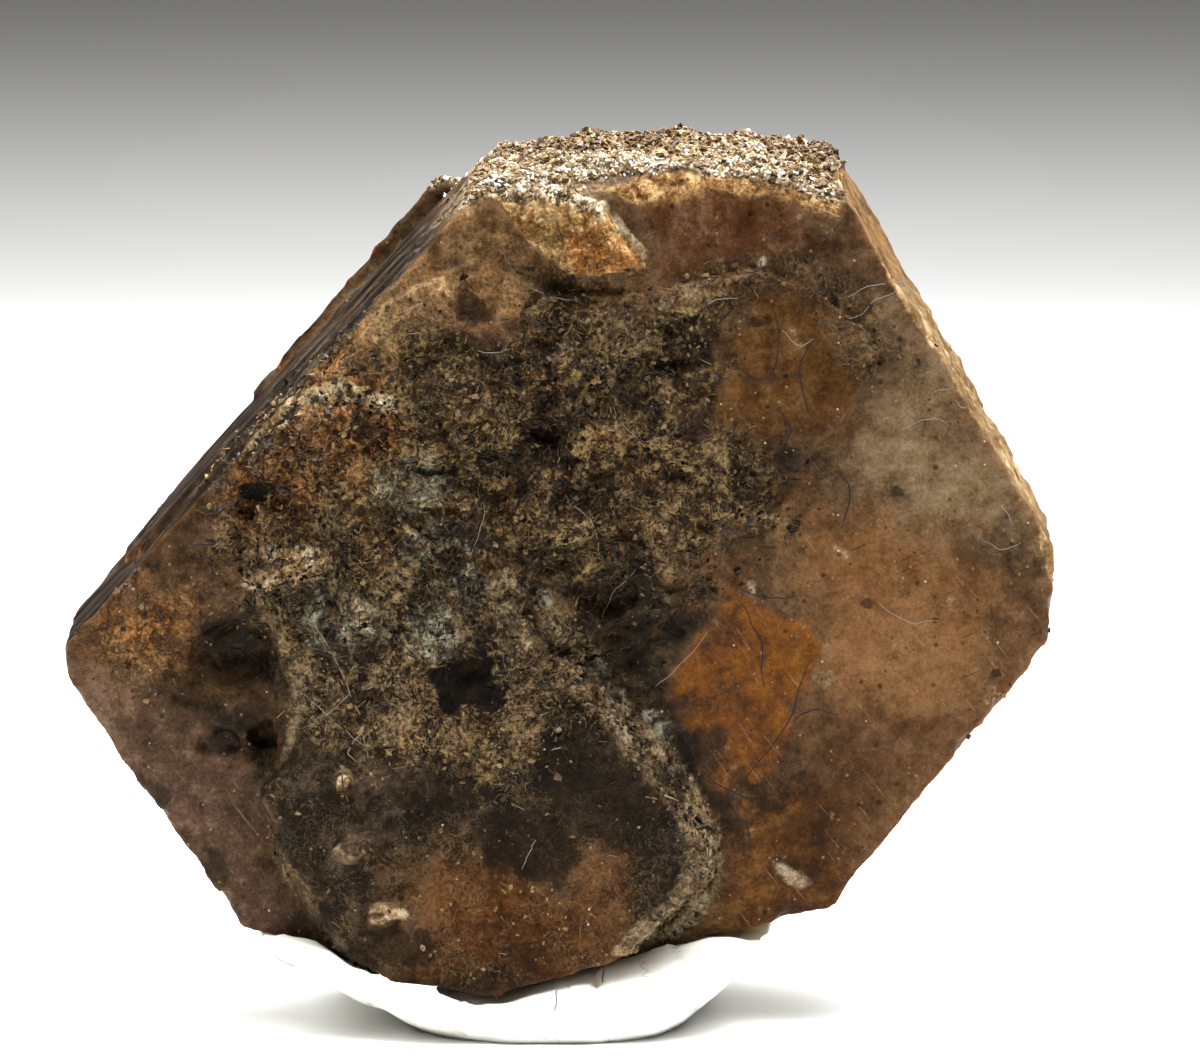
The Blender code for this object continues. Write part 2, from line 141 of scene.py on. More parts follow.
# Outlines and lines, in photo pixels.
ROUGH_ZONE = (
    (240, 475), (310, 410), (400, 345), (470, 300), (520, 310), (640, 290), (690, 286), (722, 318),
    (690, 352), (716, 396), (702, 428), (748, 456), (800, 480), (780, 530), (750, 545), (700, 570),
    (690, 610), (640, 655), (590, 640), (560, 600), (500, 575), (430, 545), (330, 545), (240, 560),
)
BLADE_ZONE = (
    (284, 640), (330, 560), (430, 545), (500, 590), (560, 650), (625, 705), (660, 745), (720, 830),
    (722, 870), (690, 920), (640, 950), (600, 966), (490, 994), (390, 982), (345, 955), (320, 920),
    (280, 850), (258, 790), (290, 740), (295, 700),
)
BLADE_CROWN = (
    (245, 560), (330, 535), (430, 540), (520, 600), (600, 665), (640, 720), (560, 740), (480, 780),
    (400, 745), (330, 760), (290, 700), (284, 640), (240, 600),
)
# Lower part of the blade, where light shining through the stone is painted into its colour as an orange
# glow.
BLADE_GLOW = ((400, 850), (520, 870), (620, 850), (640, 930), (600, 966), (490, 994), (400, 975))
# Along the blade's right bevel, and faintly its left ledge, a pale band is painted as their highlight.
BLADE_EDGE = (
    (500, 590), (556, 655), (614, 710), (648, 752), (686, 800), (704, 836), (704, 872), (680, 912),
    (640, 946),
)
LEFT_LEDGE = ((284, 640), (297, 700), (290, 742), (262, 785), (275, 840), (318, 915), (345, 952))
# The gap beside the blade's right edge and the dents under its left ledge are painted dark as shade.
GAP_ZONE = (
    (560, 590), (640, 570), (690, 580), (704, 628), (655, 690), (680, 730), (700, 775), (660, 745),
    (620, 690), (580, 650),
)
DENT_ABOVE = ((200, 622), (240, 608), (285, 640), (292, 690), (250, 678), (205, 660))
DENT_BELOW = ((180, 690), (240, 695), (292, 705), (290, 760), (262, 778), (225, 762), (190, 730))
CRACK_ZONE = ((672, 735), (735, 792), (780, 765), (790, 800), (740, 840), (722, 835), (690, 780))
RUST_ZONE = (
    (238, 470), (262, 425), (300, 378), (360, 365), (405, 400), (392, 460), (350, 500), (290, 520),
    (240, 515),
)
RUST_CREST = ((245, 445), (300, 398), (345, 392), (392, 402))
LEFT_CRUMBS = ((95, 605), (150, 575), (205, 590), (205, 650), (180, 690), (120, 690), (90, 650))
LEFT_SMOOTH = (
    (66, 650), (110, 680), (180, 700), (250, 770), (262, 850), (330, 950), (240, 935), (160, 830),
    (80, 710),
)
# The amber windows: the stone's own amber brown, with the glow of light through the stone painted in as
# well.
AMBER_LOW = (
    (655, 690), (708, 628), (722, 602), (760, 608), (805, 622), (822, 648), (812, 686), (790, 714),
    (775, 755), (758, 777), (731, 795), (703, 775), (690, 740), (672, 712),
)
RED_LEFT = ((438, 292), (492, 278), (514, 318), (494, 356), (446, 348))
RED_LOW = ((690, 556), (746, 566), (740, 600), (706, 628), (694, 606))
# The upper amber window, likewise its own brown with painted glow.
AMBER_HIGH = (
    (702, 380), (730, 322), (800, 300), (862, 328), (872, 380), (840, 425), (790, 455), (750, 482),
    (718, 430),
)
RED_ZONE = ((645, 196), (790, 192), (806, 245), (770, 290), (690, 290), (650, 268))
GREY_TAN = (
    (470, 195), (520, 215), (570, 272), (645, 276), (620, 300), (540, 306), (480, 306), (410, 350),
    (320, 405), (290, 400), (385, 275),
)
RIGHT_TAUPE = (
    (885, 300), (960, 340), (1060, 500), (1064, 560), (980, 565), (900, 530), (862, 470), (850, 425),
    (880, 370),
)
RIGHT_ORANGE = (
    (770, 500), (880, 495), (960, 545), (1010, 600), (960, 690), (870, 710), (815, 680), (822, 620),
)
RIGHT_LOW = (
    (790, 720), (860, 690), (940, 680), (1020, 620), (1066, 590), (1060, 660), (940, 810), (860, 870),
    (800, 800),
)
RIGHT_FOOT = ((740, 800), (800, 770), (860, 850), (845, 905), (730, 940), (690, 930), (722, 860))
# Along the thin right edge, light shining through it is painted as a pale glowing rim.
RIM_LINE = ((884, 250), (900, 275), (935, 335), (1008, 440), (1050, 515), (1056, 575))
# The thin flake under the top face is painted bright tan, partly its own tan and partly the glow of light
# through it; its upper crest line is painted pale as a highlight.
FLAKE_ZONE = ((488, 190), (560, 192), (604, 204), (648, 268), (570, 277), (532, 246), (505, 212))
FLAKE_RIM = ((490, 191), (560, 194), (603, 206), (640, 255))
CORNER_ZONE = ((780, 195), (800, 165), (836, 155), (852, 182), (832, 214), (805, 210))
TOP_LIP = ((600, 190), (660, 172), (740, 178), (790, 168), (782, 192), (720, 196), (640, 204))

# Round spots: x, y, half width and half height in photo pixels.
DARK_SPOTS = ((466, 674, 44, 34), (500, 690, 30, 18), (258, 490, 26, 12))
DIM_SPOTS = (
    (548, 432, 48, 40), (665, 325, 30, 22), (590, 500, 40, 30), (640, 640, 44, 30), (510, 470, 36, 26),
    (575, 760, 54, 34), (340, 648, 34, 30), (478, 350, 40, 34), (470, 300, 30, 16), (684, 362, 26, 20),
    (745, 500, 34, 16), (610, 790, 90, 60), (530, 840, 70, 34), (430, 790, 60, 44), (360, 430, 30, 18),
    (470, 540, 40, 20), (350, 700, 26, 24), (700, 420, 30, 44), (390, 960, 44, 20), (800, 470, 24, 12),
    (760, 330, 24, 12), (180, 880, 40, 30), (150, 800, 30, 30), (640, 380, 40, 24), (560, 560, 60, 30),
    (880, 610, 14, 8), (696, 748, 22, 26), (731, 790, 26, 14), (664, 706, 16, 14), (1001, 677, 10, 8),
    (905, 480, 8, 6), (905, 365, 8, 6), (1038, 480, 8, 7), (560, 300, 40, 12),
)
FROST_SPOTS = (
    (415, 480, 52, 36), (440, 545, 54, 26), (345, 618, 44, 44), (598, 668, 14, 16), (618, 690, 14, 14),
    (645, 715, 10, 12), (660, 735, 16, 16), (520, 600, 40, 20), (420, 640, 34, 30), (470, 590, 46, 18),
)
PALE_SPOTS = (
    (285, 566, 56, 26), (262, 584, 26, 16), (306, 560, 34, 14), (345, 783, 11, 11), (378, 911, 13, 9),
    (397, 922, 11, 10), (382, 928, 12, 6), (762, 266, 8, 8), (625, 945, 13, 9), (255, 585, 14, 12),
)
DULL_SPOTS = (
    (675, 600, 11, 9), (747, 598, 12, 8), (842, 548, 9, 14), (665, 298, 9, 8), (936, 525, 6, 6),
    (825, 640, 14, 9), (830, 680, 16, 12), (690, 330, 14, 10), (612, 372, 16, 12),
)
PALE_WEDGE = ((768, 858), (816, 880), (802, 889), (776, 874))
PALE_PATCH = ((312, 835), (352, 850), (372, 842), (366, 868), (336, 868))
LAYER_LINE = ((640, 296), (690, 284), (745, 276), (800, 288), (850, 312), (878, 345))

# The masks that are drawn. Each is the most of its parts, and a part says how soft or wide it is, how
# ragged, and how strong if that isn't 1.
DRAWN = {
    "crust": (Zone(ROUGH_ZONE, 60.0, 1.6), Line(LAYER_LINE, 34.0, 1.2, 0.45)),
    "blade": (Zone(BLADE_ZONE, 10.0, 0.3),),
    "crown": (Zone(BLADE_CROWN, 30.0, 1.2),),
    "painted_glow": (Zone(BLADE_GLOW, 90.0, 1.2),),
    # edge: painted highlight along the blade's bevel and, fainter, its left ledge.
    "edge": (Line(BLADE_EDGE, 26.0, 0.12), Line(LEFT_LEDGE, 8.0, 0.4, 0.4)),
    "rust": (Zone(RUST_ZONE, 40.0, 1.2), Zone(LEFT_CRUMBS, 40.0, 1.2, 0.7)),
    "mauve": (Zone(LEFT_SMOOTH, 40.0, 1.2),),
    "amber": (Zone(AMBER_LOW, 10.0, 0.5),),
    "amber_high": (Zone(AMBER_HIGH, 44.0, 1.4),),
    "red_left": (Zone(RED_LEFT, 20.0, 1.2),),
    "red": (Zone(RED_ZONE, 34.0, 1.2), Zone(RED_LOW, 16.0, 0.8)),
    "grey_tan": (Zone(GREY_TAN, 34.0, 1.2),),
    "taupe": (Zone(RIGHT_TAUPE, 120.0, 1.4),),
    "orange": (Zone(RIGHT_ORANGE, 80.0, 1.4),),
    "low": (Zone(RIGHT_LOW, 70.0, 1.4),),
    "foot": (Zone(RIGHT_FOOT, 50.0, 1.2),),
    "rim": (Line(RIM_LINE, 13.0, 0.4),),
    "flake": (Zone(FLAKE_ZONE, 5.0, 0.15), Zone(CORNER_ZONE, 9.0, 0.3, 0.9), Zone(TOP_LIP, 9.0, 0.5, 0.8)),
    "dark": (Spots(DARK_SPOTS, 1.0),),
    "dim": (Spots(DIM_SPOTS, 1.1), Zone(CRACK_ZONE, 20.0, 0.8, 0.6)),
    # shade: painted shade in the gap beside the blade and in the dents under its ledge.
    "shade": (Zone(GAP_ZONE, 26.0, 1.0), Zone(DENT_ABOVE, 16.0, 0.8, 0.9),
              Zone(DENT_BELOW, 30.0, 1.3, 0.85)),
    "frost": (Spots(FROST_SPOTS, 0.9),),
    # pale: pale grains and patches, and the painted highlight along the flake's crest.
    "pale": (Spots(PALE_SPOTS, 0.5), Spots(DULL_SPOTS, 0.8, 0.45), Line(RUST_CREST, 13.0, 0.4, 0.9),
             Line(FLAKE_RIM, 7.0, 0.3), Zone(PALE_WEDGE, 4.0, 0.1, 0.45), Zone(PALE_PATCH, 12.0, 0.6, 0.3)),
}

# Glassy faces, and shares of the masks in three sums: how coarse a place is, how deep its relief is, and
# how many grains lie on it.
GLASSY = ("amber", "taupe", "orange", "low", "foot", "mauve")
COARSENESS = {"crust": 1.0, "crown": 1.0, "druse": 1.0, "rust": 1.0, "edge": 0.6, "flake": 0.8,
              "blade": 0.35, "grey_tan": 0.5, "shade": 0.3}
RELIEF = {"crust": 1.0, "crown": 0.7, "rust": 0.9, "blade": 0.15, "dim": 0.4, "edge": 0.4, "shade": 0.4,
          "grey_tan": 0.25}
GRAININESS = {"crust": 1.0, "crown": 0.8, "rust": 0.5, "blade": 0.06, "edge": 0.7}

# Directions out of the upper left side face and along it, and the height of the top face.
LEFT_FACE_OUTWARD = np.array((-0.741, 0.0, 0.672))
LEFT_FACE_ALONG = np.array((0.672, 0.0, 0.741))
TOP_LEVEL = 35.0

# Screen colours from 0 to 255 of each zone's darkest, middle and palest grains.
TONES = {
    "stone": ((40, 28, 18), (84, 63, 44), (124, 98, 72)),
    "mauve": ((56, 39, 31), (92, 70, 57), (132, 109, 92)),
    "low": ((68, 43, 24), (102, 72, 45), (128, 98, 68)),
    "foot": ((50, 27, 8), (88, 52, 18), (130, 92, 46)),
    "taupe": ((92, 72, 48), (132, 110, 83), (162, 143, 118)),
    "orange": ((100, 68, 38), (136, 98, 61), (158, 120, 82)),
    "red": ((68, 38, 19), (98, 66, 43), (140, 106, 81)),
    "grey_tan": ((68, 47, 28), (126, 96, 64), (186, 152, 114)),
    # amber and amber_high: the stone's amber brown with a painted glow of light through it.
    "amber": ((74, 38, 2), (128, 75, 8), (158, 104, 26)),
    "amber_high": ((54, 32, 12), (93, 62, 31), (124, 92, 56)),
    "blade": ((15, 10, 8), (34, 26, 20), (90, 74, 62)),
    # The painted glow's orange tones.
    "painted_glow": ((38, 22, 8), (80, 48, 22), (118, 84, 52)),
    "crown": ((12, 9, 6), (55, 44, 31), (156, 138, 110)),
    "crust": ((11, 7, 4), (71, 53, 34), (168, 144, 106)),
    "rust": ((48, 25, 9), (112, 72, 39), (190, 142, 88)),
    "frost": ((26, 25, 21), (98, 95, 83), (192, 192, 178)),
    # The upper left side face: painted darker as shade, with pale streaks of painted sheen.
    "left_face_shade_sheen": ((22, 17, 13), (44, 35, 28), (104, 94, 86)),
    # edge: pale tan tones of the painted highlight on the blade's bevel and ledge.
    "edge": ((58, 44, 31), (116, 99, 78), (176, 160, 136)),
    "pale": ((108, 86, 58), (182, 160, 128), (244, 232, 208)),
    # rim: the painted glow of the thin right edge, also laid in a band on the right side face.
    "rim": ((112, 84, 50), (162, 136, 100), (220, 198, 162)),
    # flake: tan stone with the painted glow of light through the thin flake.
    "flake": ((92, 56, 18), (170, 124, 72), (240, 206, 158)),
    "druse": ((60, 44, 27), (160, 134, 100), (240, 228, 204)),
    # shade: tones of painted shade; the dim places are darkened towards them too.
    "shade": ((5, 3, 2), (22, 15, 8), (60, 45, 30)),
    "pitch": ((4, 3, 2), (17, 13, 9), (46, 37, 28)),
}
DRIVER_STOPS = (0.12, 0.5, 0.88)
FRONT_GAIN = (0.50, 0.47, 0.41)
TOP_GAIN = (0.54, 0.52, 0.47)

# Zones of the crystal in the order that they are laid, those with cloudy tones before the crust's.
GLASS_ZONES = ("mauve", "low", "foot", "taupe", "orange", "red", "grey_tan", "amber_high", "amber", "blade",
               "painted_glow")
CRUST_ZONES = ("crown", "crust", "rust", "shade", "frost", "edge", "flake", "pale", "rim")

# Specks all over: size of the cells they lie in, reach, share of the cells that have one, and tone.
SPECKS = (
    (0.8, 0.2, 0.3, TONES["pitch"][1]),
    (0.5, 0.12, 0.12, TONES["pale"][1]),
    (0.3, 0.3, 0.12, TONES["pitch"][2]),
    (0.33, 0.25, 0.14, TONES["crust"][2]),
    # White specks: painted glints.
    (0.62, 0.1, 0.2, (255, 250, 240)),
)
AXINITE_IOR = 1.68
WARM_TINT = (1.0, 0.84, 0.66, 1.0)
# The white of the painted sparkles.
SPARKLE_COLOUR = (0.75, 0.74, 0.72, 1.0)
NO_STAIN = (1.0, 1.0, 1.0, 1.0)
RUSTY_STAIN = (1.14, 0.97, 0.76, 1.0)
GREEN_STAIN = (0.86, 0.92, 0.86, 1.0)
PUTTY_CREAM = (0.80, 0.78, 0.70, 1.0)
PUTTY_WHITE = (0.92, 0.91, 0.86, 1.0)
# Grey of the painted shade along the putty's folds.
PUTTY_FOLD_SHADE = (0.42, 0.39, 0.33, 1.0)
SEAM_TONE = (150, 128, 100)
LINT_COLOUR = (0.2, 0.18, 0.14, 1.0)
FIBRE_COLOUR = (0.16, 0.15, 0.15, 1.0)


# Colours

def linear(colour, gain=FRONT_GAIN):
    """A screen colour as the linear values that a shader takes, after the light's own gain."""
    values = [(value / 255.0) ** 2.2 * share for value, share in zip(colour, gain)]
    return (*[min(value, 0.93) for value in values], 1.0)


# Repeatable noise over arrays of points

def hashed(cells, seed):
    """A number from 0 to 1 for each whole-numbered cell."""
    mixed = (cells @ np.array((374761393, 668265263, 1274126177)) + seed * 974711) & 0xFFFFFFFF
    mixed = ((mixed ^ (mixed >> 13)) * 1103515245) & 0xFFFFFFFF
    mixed = ((mixed ^ (mixed >> 15)) * 668265263) & 0xFFFFFFFF
    return (mixed ^ (mixed >> 16)) / 4294967295.0


def value_noise(points, size, seed):
    """Smooth noise from -1 to 1 whose swells are about size across."""
    cell = points / size
    base = np.floor(cell).astype(np.int64)
    part = cell - base
    part = part * part * (3.0 - 2.0 * part)
    total = np.zeros(len(points))
    for corner in np.ndindex(2, 2, 2):
        weight = np.prod(np.where(corner, part, 1.0 - part), axis=1)
        total += weight * hashed(base + np.array(corner), seed)
    return 2.0 * total - 1.0


def fractal(points, size, seed, octaves=4, gain=0.5):
    """Layers of noise, each half the size of the last."""
    total = np.zeros(len(points))
    strength = 1.0
    full = 0.0
    for octave in range(octaves):
        total += strength * value_noise(points, size / 2.0 ** octave, seed + octave)
        full += strength
        strength *= gain
    return total / full


def block_crust(points, size, seed):
    """Height from 0 to about 1 of a crust of tilted flat-topped blocks, each about size across."""
    cell = points / size
    base = np.floor(cell).astype(np.int64)
    height = np.zeros(len(points))
    for offset in np.ndindex(3, 3, 3):
        corner = base + np.array(offset) - 1
        delta = cell - corner - np.stack([hashed(corner, seed + k) for k in range(3)], axis=1)
        turn = math.tau * hashed(corner, seed + 3)
        tip = math.pi * hashed(corner, seed + 4)
        forward = np.cos(tip) * delta[:, 1] + np.sin(tip) * delta[:, 2]
        along = np.cos(turn) * delta[:, 0] + np.sin(turn) * forward
        across = np.cos(turn) * forward - np.sin(turn) * delta[:, 0]
        through = np.cos(tip) * delta[:, 2] - np.sin(tip) * delta[:, 1]
        reach = [np.abs(part) / half for part, half in zip((along, across, through), BLOCK_SHAPE)]
        inside = 1.0 - np.max(reach, axis=0)
        rise = np.clip(inside * 4.0, 0.0, 1.0) * (0.35 + 0.65 * hashed(corner, seed + 5))
        rise = rise + np.where(inside > 0.0, 0.5 * inside * (hashed(corner, seed + 6) - 0.3), 0.0)
        height = np.maximum(height, rise)
    return height


def hump(values, low, high, fall=2.0):
    """One between low and high, falling off about both."""
    rise = smooth_step(low - fall, low + fall, values)
    return rise * (1.0 - smooth_step(high - fall, high + fall, values))


def smooth_step(low, high, values):
    part = np.clip((values - low) / (high - low), 0.0, 1.0)
    return part * part * (3.0 - 2.0 * part)


# Where points fall in the photo frame, and masks drawn there

def photo_pixels(points):
    offset = points - CAMERA_PLACE
    depth = -(offset @ CAMERA_BACK)
    focal = PHOTO_WIDTH * LENS / SENSOR
    across = PHOTO_WIDTH / 2 + focal * offset[:, 0] / depth
    down = PHOTO_HEIGHT / 2 - focal * (offset @ CAMERA_UP) / depth
    return np.stack((across, down), axis=1)


def segment_distance(pixels, start, end):
    start = np.array(start, float)
    run = np.array(end, float) - start
    part = np.clip(((pixels - start) @ run) / (run @ run), 0.0, 1.0)
    return np.linalg.norm(pixels - start - part[:, None] * run, axis=1)


def line_distance(pixels, line):
    """Distance to an open line, in pixels."""
    return np.min([segment_distance(pixels, a, b) for a, b in zip(line, line[1:])], axis=0)


def outline_distance(pixels, outline):
    """Distance to a closed outline, in pixels, positive inside it."""
    closed = outline + outline[:1]
    nearest = line_distance(pixels, closed)
    inside = np.zeros(len(pixels), bool)
    for (x1, y1), (x2, y2) in zip(closed, closed[1:]):
        if y1 == y2:
            continue
        spans = (y1 > pixels[:, 1]) != (y2 > pixels[:, 1])
        inside ^= spans & (pixels[:, 0] < x1 + (x2 - x1) * (pixels[:, 1] - y1) / (y2 - y1))
    return np.where(inside, nearest, -nearest)


class Masks:
    """Makes soft ragged masks over a mesh's points, on the side that faces the camera."""

    def __init__(self, points, facing):
        self.pixels = photo_pixels(points)
        self.facing = facing
        coarse = np.stack([fractal(points, 2.4, 100 + k, 3) for k in range(2)], axis=1)
        fine = np.stack([fractal(points, 0.7, 110 + k, 3) for k in range(2)], axis=1)
        self.shift = coarse * 26.0 + fine * 12.0

    def most(self, parts):
        """The most of some drawn parts at each point."""
        covers = [part.cover(self.pixels + self.shift * part.ragged) * part.strength for part in parts]
        return np.max(covers, axis=0) * self.facing
# Meshes as arrays

def mesh_points(mesh):
    flat = np.empty(len(mesh.vertices) * 3, np.float32)
    mesh.vertices.foreach_get("co", flat)
    return flat.reshape(-1, 3).astype(float) / MM


def set_mesh_points(mesh, points):
    mesh.vertices.foreach_set("co", (points * MM).astype(np.float32).ravel())
    mesh.update()


def mesh_normals(mesh):
    flat = np.empty(len(mesh.vertices) * 3, np.float32)
    mesh.vertex_normals.foreach_get("vector", flat)
    return flat.reshape(-1, 3).astype(float)


def mesh_edges(mesh):
    flat = np.empty(len(mesh.edges) * 2, np.int32)
    mesh.edges.foreach_get("vertices", flat)
    return flat.reshape(-1, 2)


def spread(values, edges, rounds):
    """Average values with their neighbours', some number of rounds."""
    count = np.bincount(edges.ravel(), minlength=len(values)).astype(float)
    shape = (-1,) + (1,) * (values.ndim - 1)
    for _ in range(rounds):
        total = values.copy()
        np.add.at(total, edges[:, 0], values[edges[:, 1]])
        np.add.at(total, edges[:, 1], values[edges[:, 0]])
        values = total / (count + 1.0).reshape(shape)
    return values


def store(mesh, name, values):
    """Keep a mask on a mesh's points, where a material can read it."""
    layer = mesh.attributes.new(name, "FLOAT", "POINT")
    layer.data.foreach_set("value", np.asarray(values, np.float32))


def new_piece(name, mesh):
    piece = bpy.data.objects.new(name, mesh)
    bpy.context.scene.collection.objects.link(piece)
    return piece


def settle(piece):
    """Make a piece's modifiers part of its mesh."""
    evaluated = piece.evaluated_get(bpy.context.evaluated_depsgraph_get())
    mesh = bpy.data.meshes.new_from_object(evaluated)
    piece.modifiers.clear()
    piece.data = mesh
    mesh.name = piece.name


def remake_on_grid(piece, grid):
    remesh = piece.modifiers.new("grid", "REMESH")
    remesh.mode = "VOXEL"
    remesh.voxel_size = grid * MM
    settle(piece)


def keep_inside_cad_box(points):
    low = np.array(CAD_BOX[0]) / MM
    high = np.array(CAD_BOX[1]) / MM
    return np.clip(points, low, high)


def finish_piece(piece, material, *nodes, slot):
    piece.data.materials.clear()
    piece.data.materials.append(material)
    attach(piece, "root")
    if nodes:
        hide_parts(*nodes)


# Node trees

class Shade:
    """Builds one material's nodes. Sizes are in millimetres."""

    def __init__(self, name):
        self.material = bpy.data.materials.new(name)
        self.material.use_nodes = True
        self.tree = self.material.node_tree
        self.shader = self.tree.nodes["Principled BSDF"]
        self.place = self.add("ShaderNodeTexCoord").outputs["Object"]

    def add(self, kind, **settings):
        node = self.tree.nodes.new(kind)
        for name, value in settings.items():
            setattr(node, name, value)
        return node

    def give(self, socket, value):
        if isinstance(value, bpy.types.NodeSocket):
            self.tree.links.new(value, socket)
        else:
            socket.default_value = value

    def set(self, name, value):
        self.give(self.shader.inputs[name], value)

    def mask(self, name):
        return self.add("ShaderNodeAttribute", attribute_name=name).outputs["Fac"]

    def noise(self, size, detail=3.0, rough=0.55, place=None, twist=0.0):
        node = self.add("ShaderNodeTexNoise")
        self.give(node.inputs["Vector"], place or self.place)
        self.give(node.inputs["Scale"], 1.0 / (size * MM))
        self.give(node.inputs["Detail"], detail)
        self.give(node.inputs["Roughness"], rough)
        self.give(node.inputs["Distortion"], twist)
        return node.outputs["Fac"]

    def cells(self, size, output="Distance", feature="F1", place=None):
        node = self.add("ShaderNodeTexVoronoi", feature=feature)
        self.give(node.inputs["Vector"], place or self.place)
        self.give(node.inputs["Scale"], 1.0 / (size * MM))
        return node.outputs[output]

    def calc(self, operation, first, second=0.0):
        node = self.add("ShaderNodeMath", operation=operation)
        self.give(node.inputs[0], first)
        self.give(node.inputs[1], second)
        return node.outputs[0]

    def span(self, value, low, high, to_low=0.0, to_high=1.0, smooth=True):
        """Map a span of values to another, and hold it past the ends."""
        node = self.add("ShaderNodeMapRange", interpolation_type="SMOOTHSTEP" if smooth else "LINEAR")
        for socket, number in zip(node.inputs, (value, low, high, to_low, to_high)):
            self.give(socket, number)
        return node.outputs[0]

    def blend(self, share, first, second):
        node = self.add("ShaderNodeMix", data_type="RGBA")
        self.give(node.inputs[0], share)
        self.give(node.inputs[6], first)
        self.give(node.inputs[7], second)
        return node.outputs[2]

    def ramp(self, value, stops):
        """A colour for each value, blended between the stops."""
        node = self.add("ShaderNodeValToRGB")
        self.give(node.inputs[0], value)
        elements = node.color_ramp.elements
        while len(elements) < len(stops):
            elements.new(0.5)
        for element, (place, colour) in zip(elements, stops):
            element.position = place
            element.color = colour
        return node.outputs[0]

    def tones(self, driver, name, gain=FRONT_GAIN):
        """A zone's dark, middle and pale tones, spread over a driver from 0 to 1."""
        return self.ramp(driver, list(zip(DRIVER_STOPS, [linear(colour, gain) for colour in TONES[name]])))

    def product(self, *factors):
        total = factors[0]
        for factor in factors[1:]:
            total = self.calc("MULTIPLY", total, factor)
        return total

    def contour(self, value, width, strength=1.0):
        """Thin lines where a noise crosses its middle."""
        off_middle = self.calc("ABSOLUTE", self.calc("SUBTRACT", value, 0.5))
        return self.span(off_middle, 0.0, width, strength, 0.0)

    def vectors(self, operation, first, second):
        node = self.add("ShaderNodeVectorMath", operation=operation)
        self.give(node.inputs[0], first)
        self.give(node.inputs[1], second)
        return node.outputs[0]

    def aside(self, shift):
        """Object places moved aside, so that a second noise of one size differs from the first."""
        return self.vectors("ADD", self.place, (shift * MM, 0.0, 0.0))

    def stretched(self, rise, size):
        """Object places for streaks of a length and widths, along a line that rises by some degrees."""
        node = self.add("ShaderNodeMapping", vector_type="TEXTURE")
        self.give(node.inputs["Vector"], self.place)
        self.give(node.inputs["Rotation"], (0.0, -math.radians(rise), 0.0))
        self.give(node.inputs["Scale"], size)
        return node.outputs[0]

    def grey(self, value):
        """One of a colour's channels as a number."""
        node = self.add("ShaderNodeSeparateColor")
        self.give(node.inputs[0], value)
        return node.outputs[0]

    def bump(self, height, strength, distance):
        node = self.add("ShaderNodeBump")
        self.give(node.inputs["Strength"], strength)
        self.give(node.inputs["Distance"], distance * MM)
        self.give(node.inputs["Height"], height)
        return node.outputs[0]

    def subsurface(self, weight, depth, radius):
        self.set("Subsurface Weight", weight)
        self.set("Subsurface Scale", depth * MM)
        self.set("Subsurface Radius", radius)


def crust_driver(shade):
    """From 0 to 1, busy at every size from clumps to single grains."""
    clumps = shade.product(shade.noise(1.5, 3.0, 0.6, twist=0.6), 0.45)
    grit = shade.product(shade.noise(0.42, 4.0, 0.75, twist=1.0), 0.55)
    return shade.span(shade.calc("ADD", clumps, grit), 0.39, 0.62, smooth=False)


def glass_driver(shade):
    """From 0 to 1, cloudy, with fine mottling."""
    clouds = shade.product(shade.noise(4.5, 4.0, 0.6, twist=0.5), 0.4)
    mottle = shade.product(shade.noise(0.9, 7.0, 0.85), 0.6)
    return shade.span(shade.calc("ADD", clouds, mottle), 0.38, 0.62, smooth=False)


def streak_and_sheen_driver(shade):
    """From 0 to 1 in fine streaks along the upper left side face, whose pale end is painted sheen."""
    streak = shade.noise(1.0, 5.0, 0.7, shade.stretched(47.8, (4.0, 0.2, 0.2)))
    return shade.span(streak, 0.36, 0.66, smooth=False)


def zone_colours(shade, colour, driver, zones, ragged):
    """Lay zones over a colour, each in its own tones and with an edge frayed by noise."""
    fray = shade.noise(2.4, 8.0, 0.75, place=shade.aside(40.0))
    fray = shade.span(fray, 0.35, 0.65, -0.5 * ragged, 0.5 * ragged, smooth=False)
    for name in zones:
        share = shade.span(shade.calc("ADD", shade.mask(name), fray), 0.15, 0.85)
        colour = shade.blend(share, colour, shade.tones(driver, name))
    return colour


def thin_cracks(shade, colour):
    """Thin wandering dark cracks in the glassy faces."""
    line = shade.contour(shade.noise(3.2, 4.0, 0.6, twist=1.0), 0.004)
    where = shade.span(shade.noise(5.0, 2.0, place=shade.aside(15.0)), 0.5, 0.6)
    share = shade.product(line, where, shade.mask("glassy"), 0.6)
    return shade.blend(share, colour, linear(TONES["pitch"][1]))


def specks(shade, colour):
    """Small dark and pale dots all over, the white ones painted glints."""
    for size, reach, share, tone in SPECKS:
        dot = shade.span(shade.cells(size), reach * 0.5, reach, 1.0, 0.0)
        some = shade.span(shade.grey(shade.cells(size, "Color")), 1.0 - share, 1.0 - share * 0.6)
        colour = shade.blend(shade.product(dot, some, 0.7), colour, linear(tone))
    return colour


def stains(shade, colour):
    """Rusty and greenish stains over the coarse places, by patches."""
    patch = shade.noise(2.6, 4.0, 0.65, place=shade.aside(77.0))
    stain = shade.ramp(patch, ((0.38, RUSTY_STAIN), (0.5, NO_STAIN), (0.62, GREEN_STAIN)))
    return shade.vectors("MULTIPLY", colour, shade.blend(shade.mask("coarse"), NO_STAIN, stain))


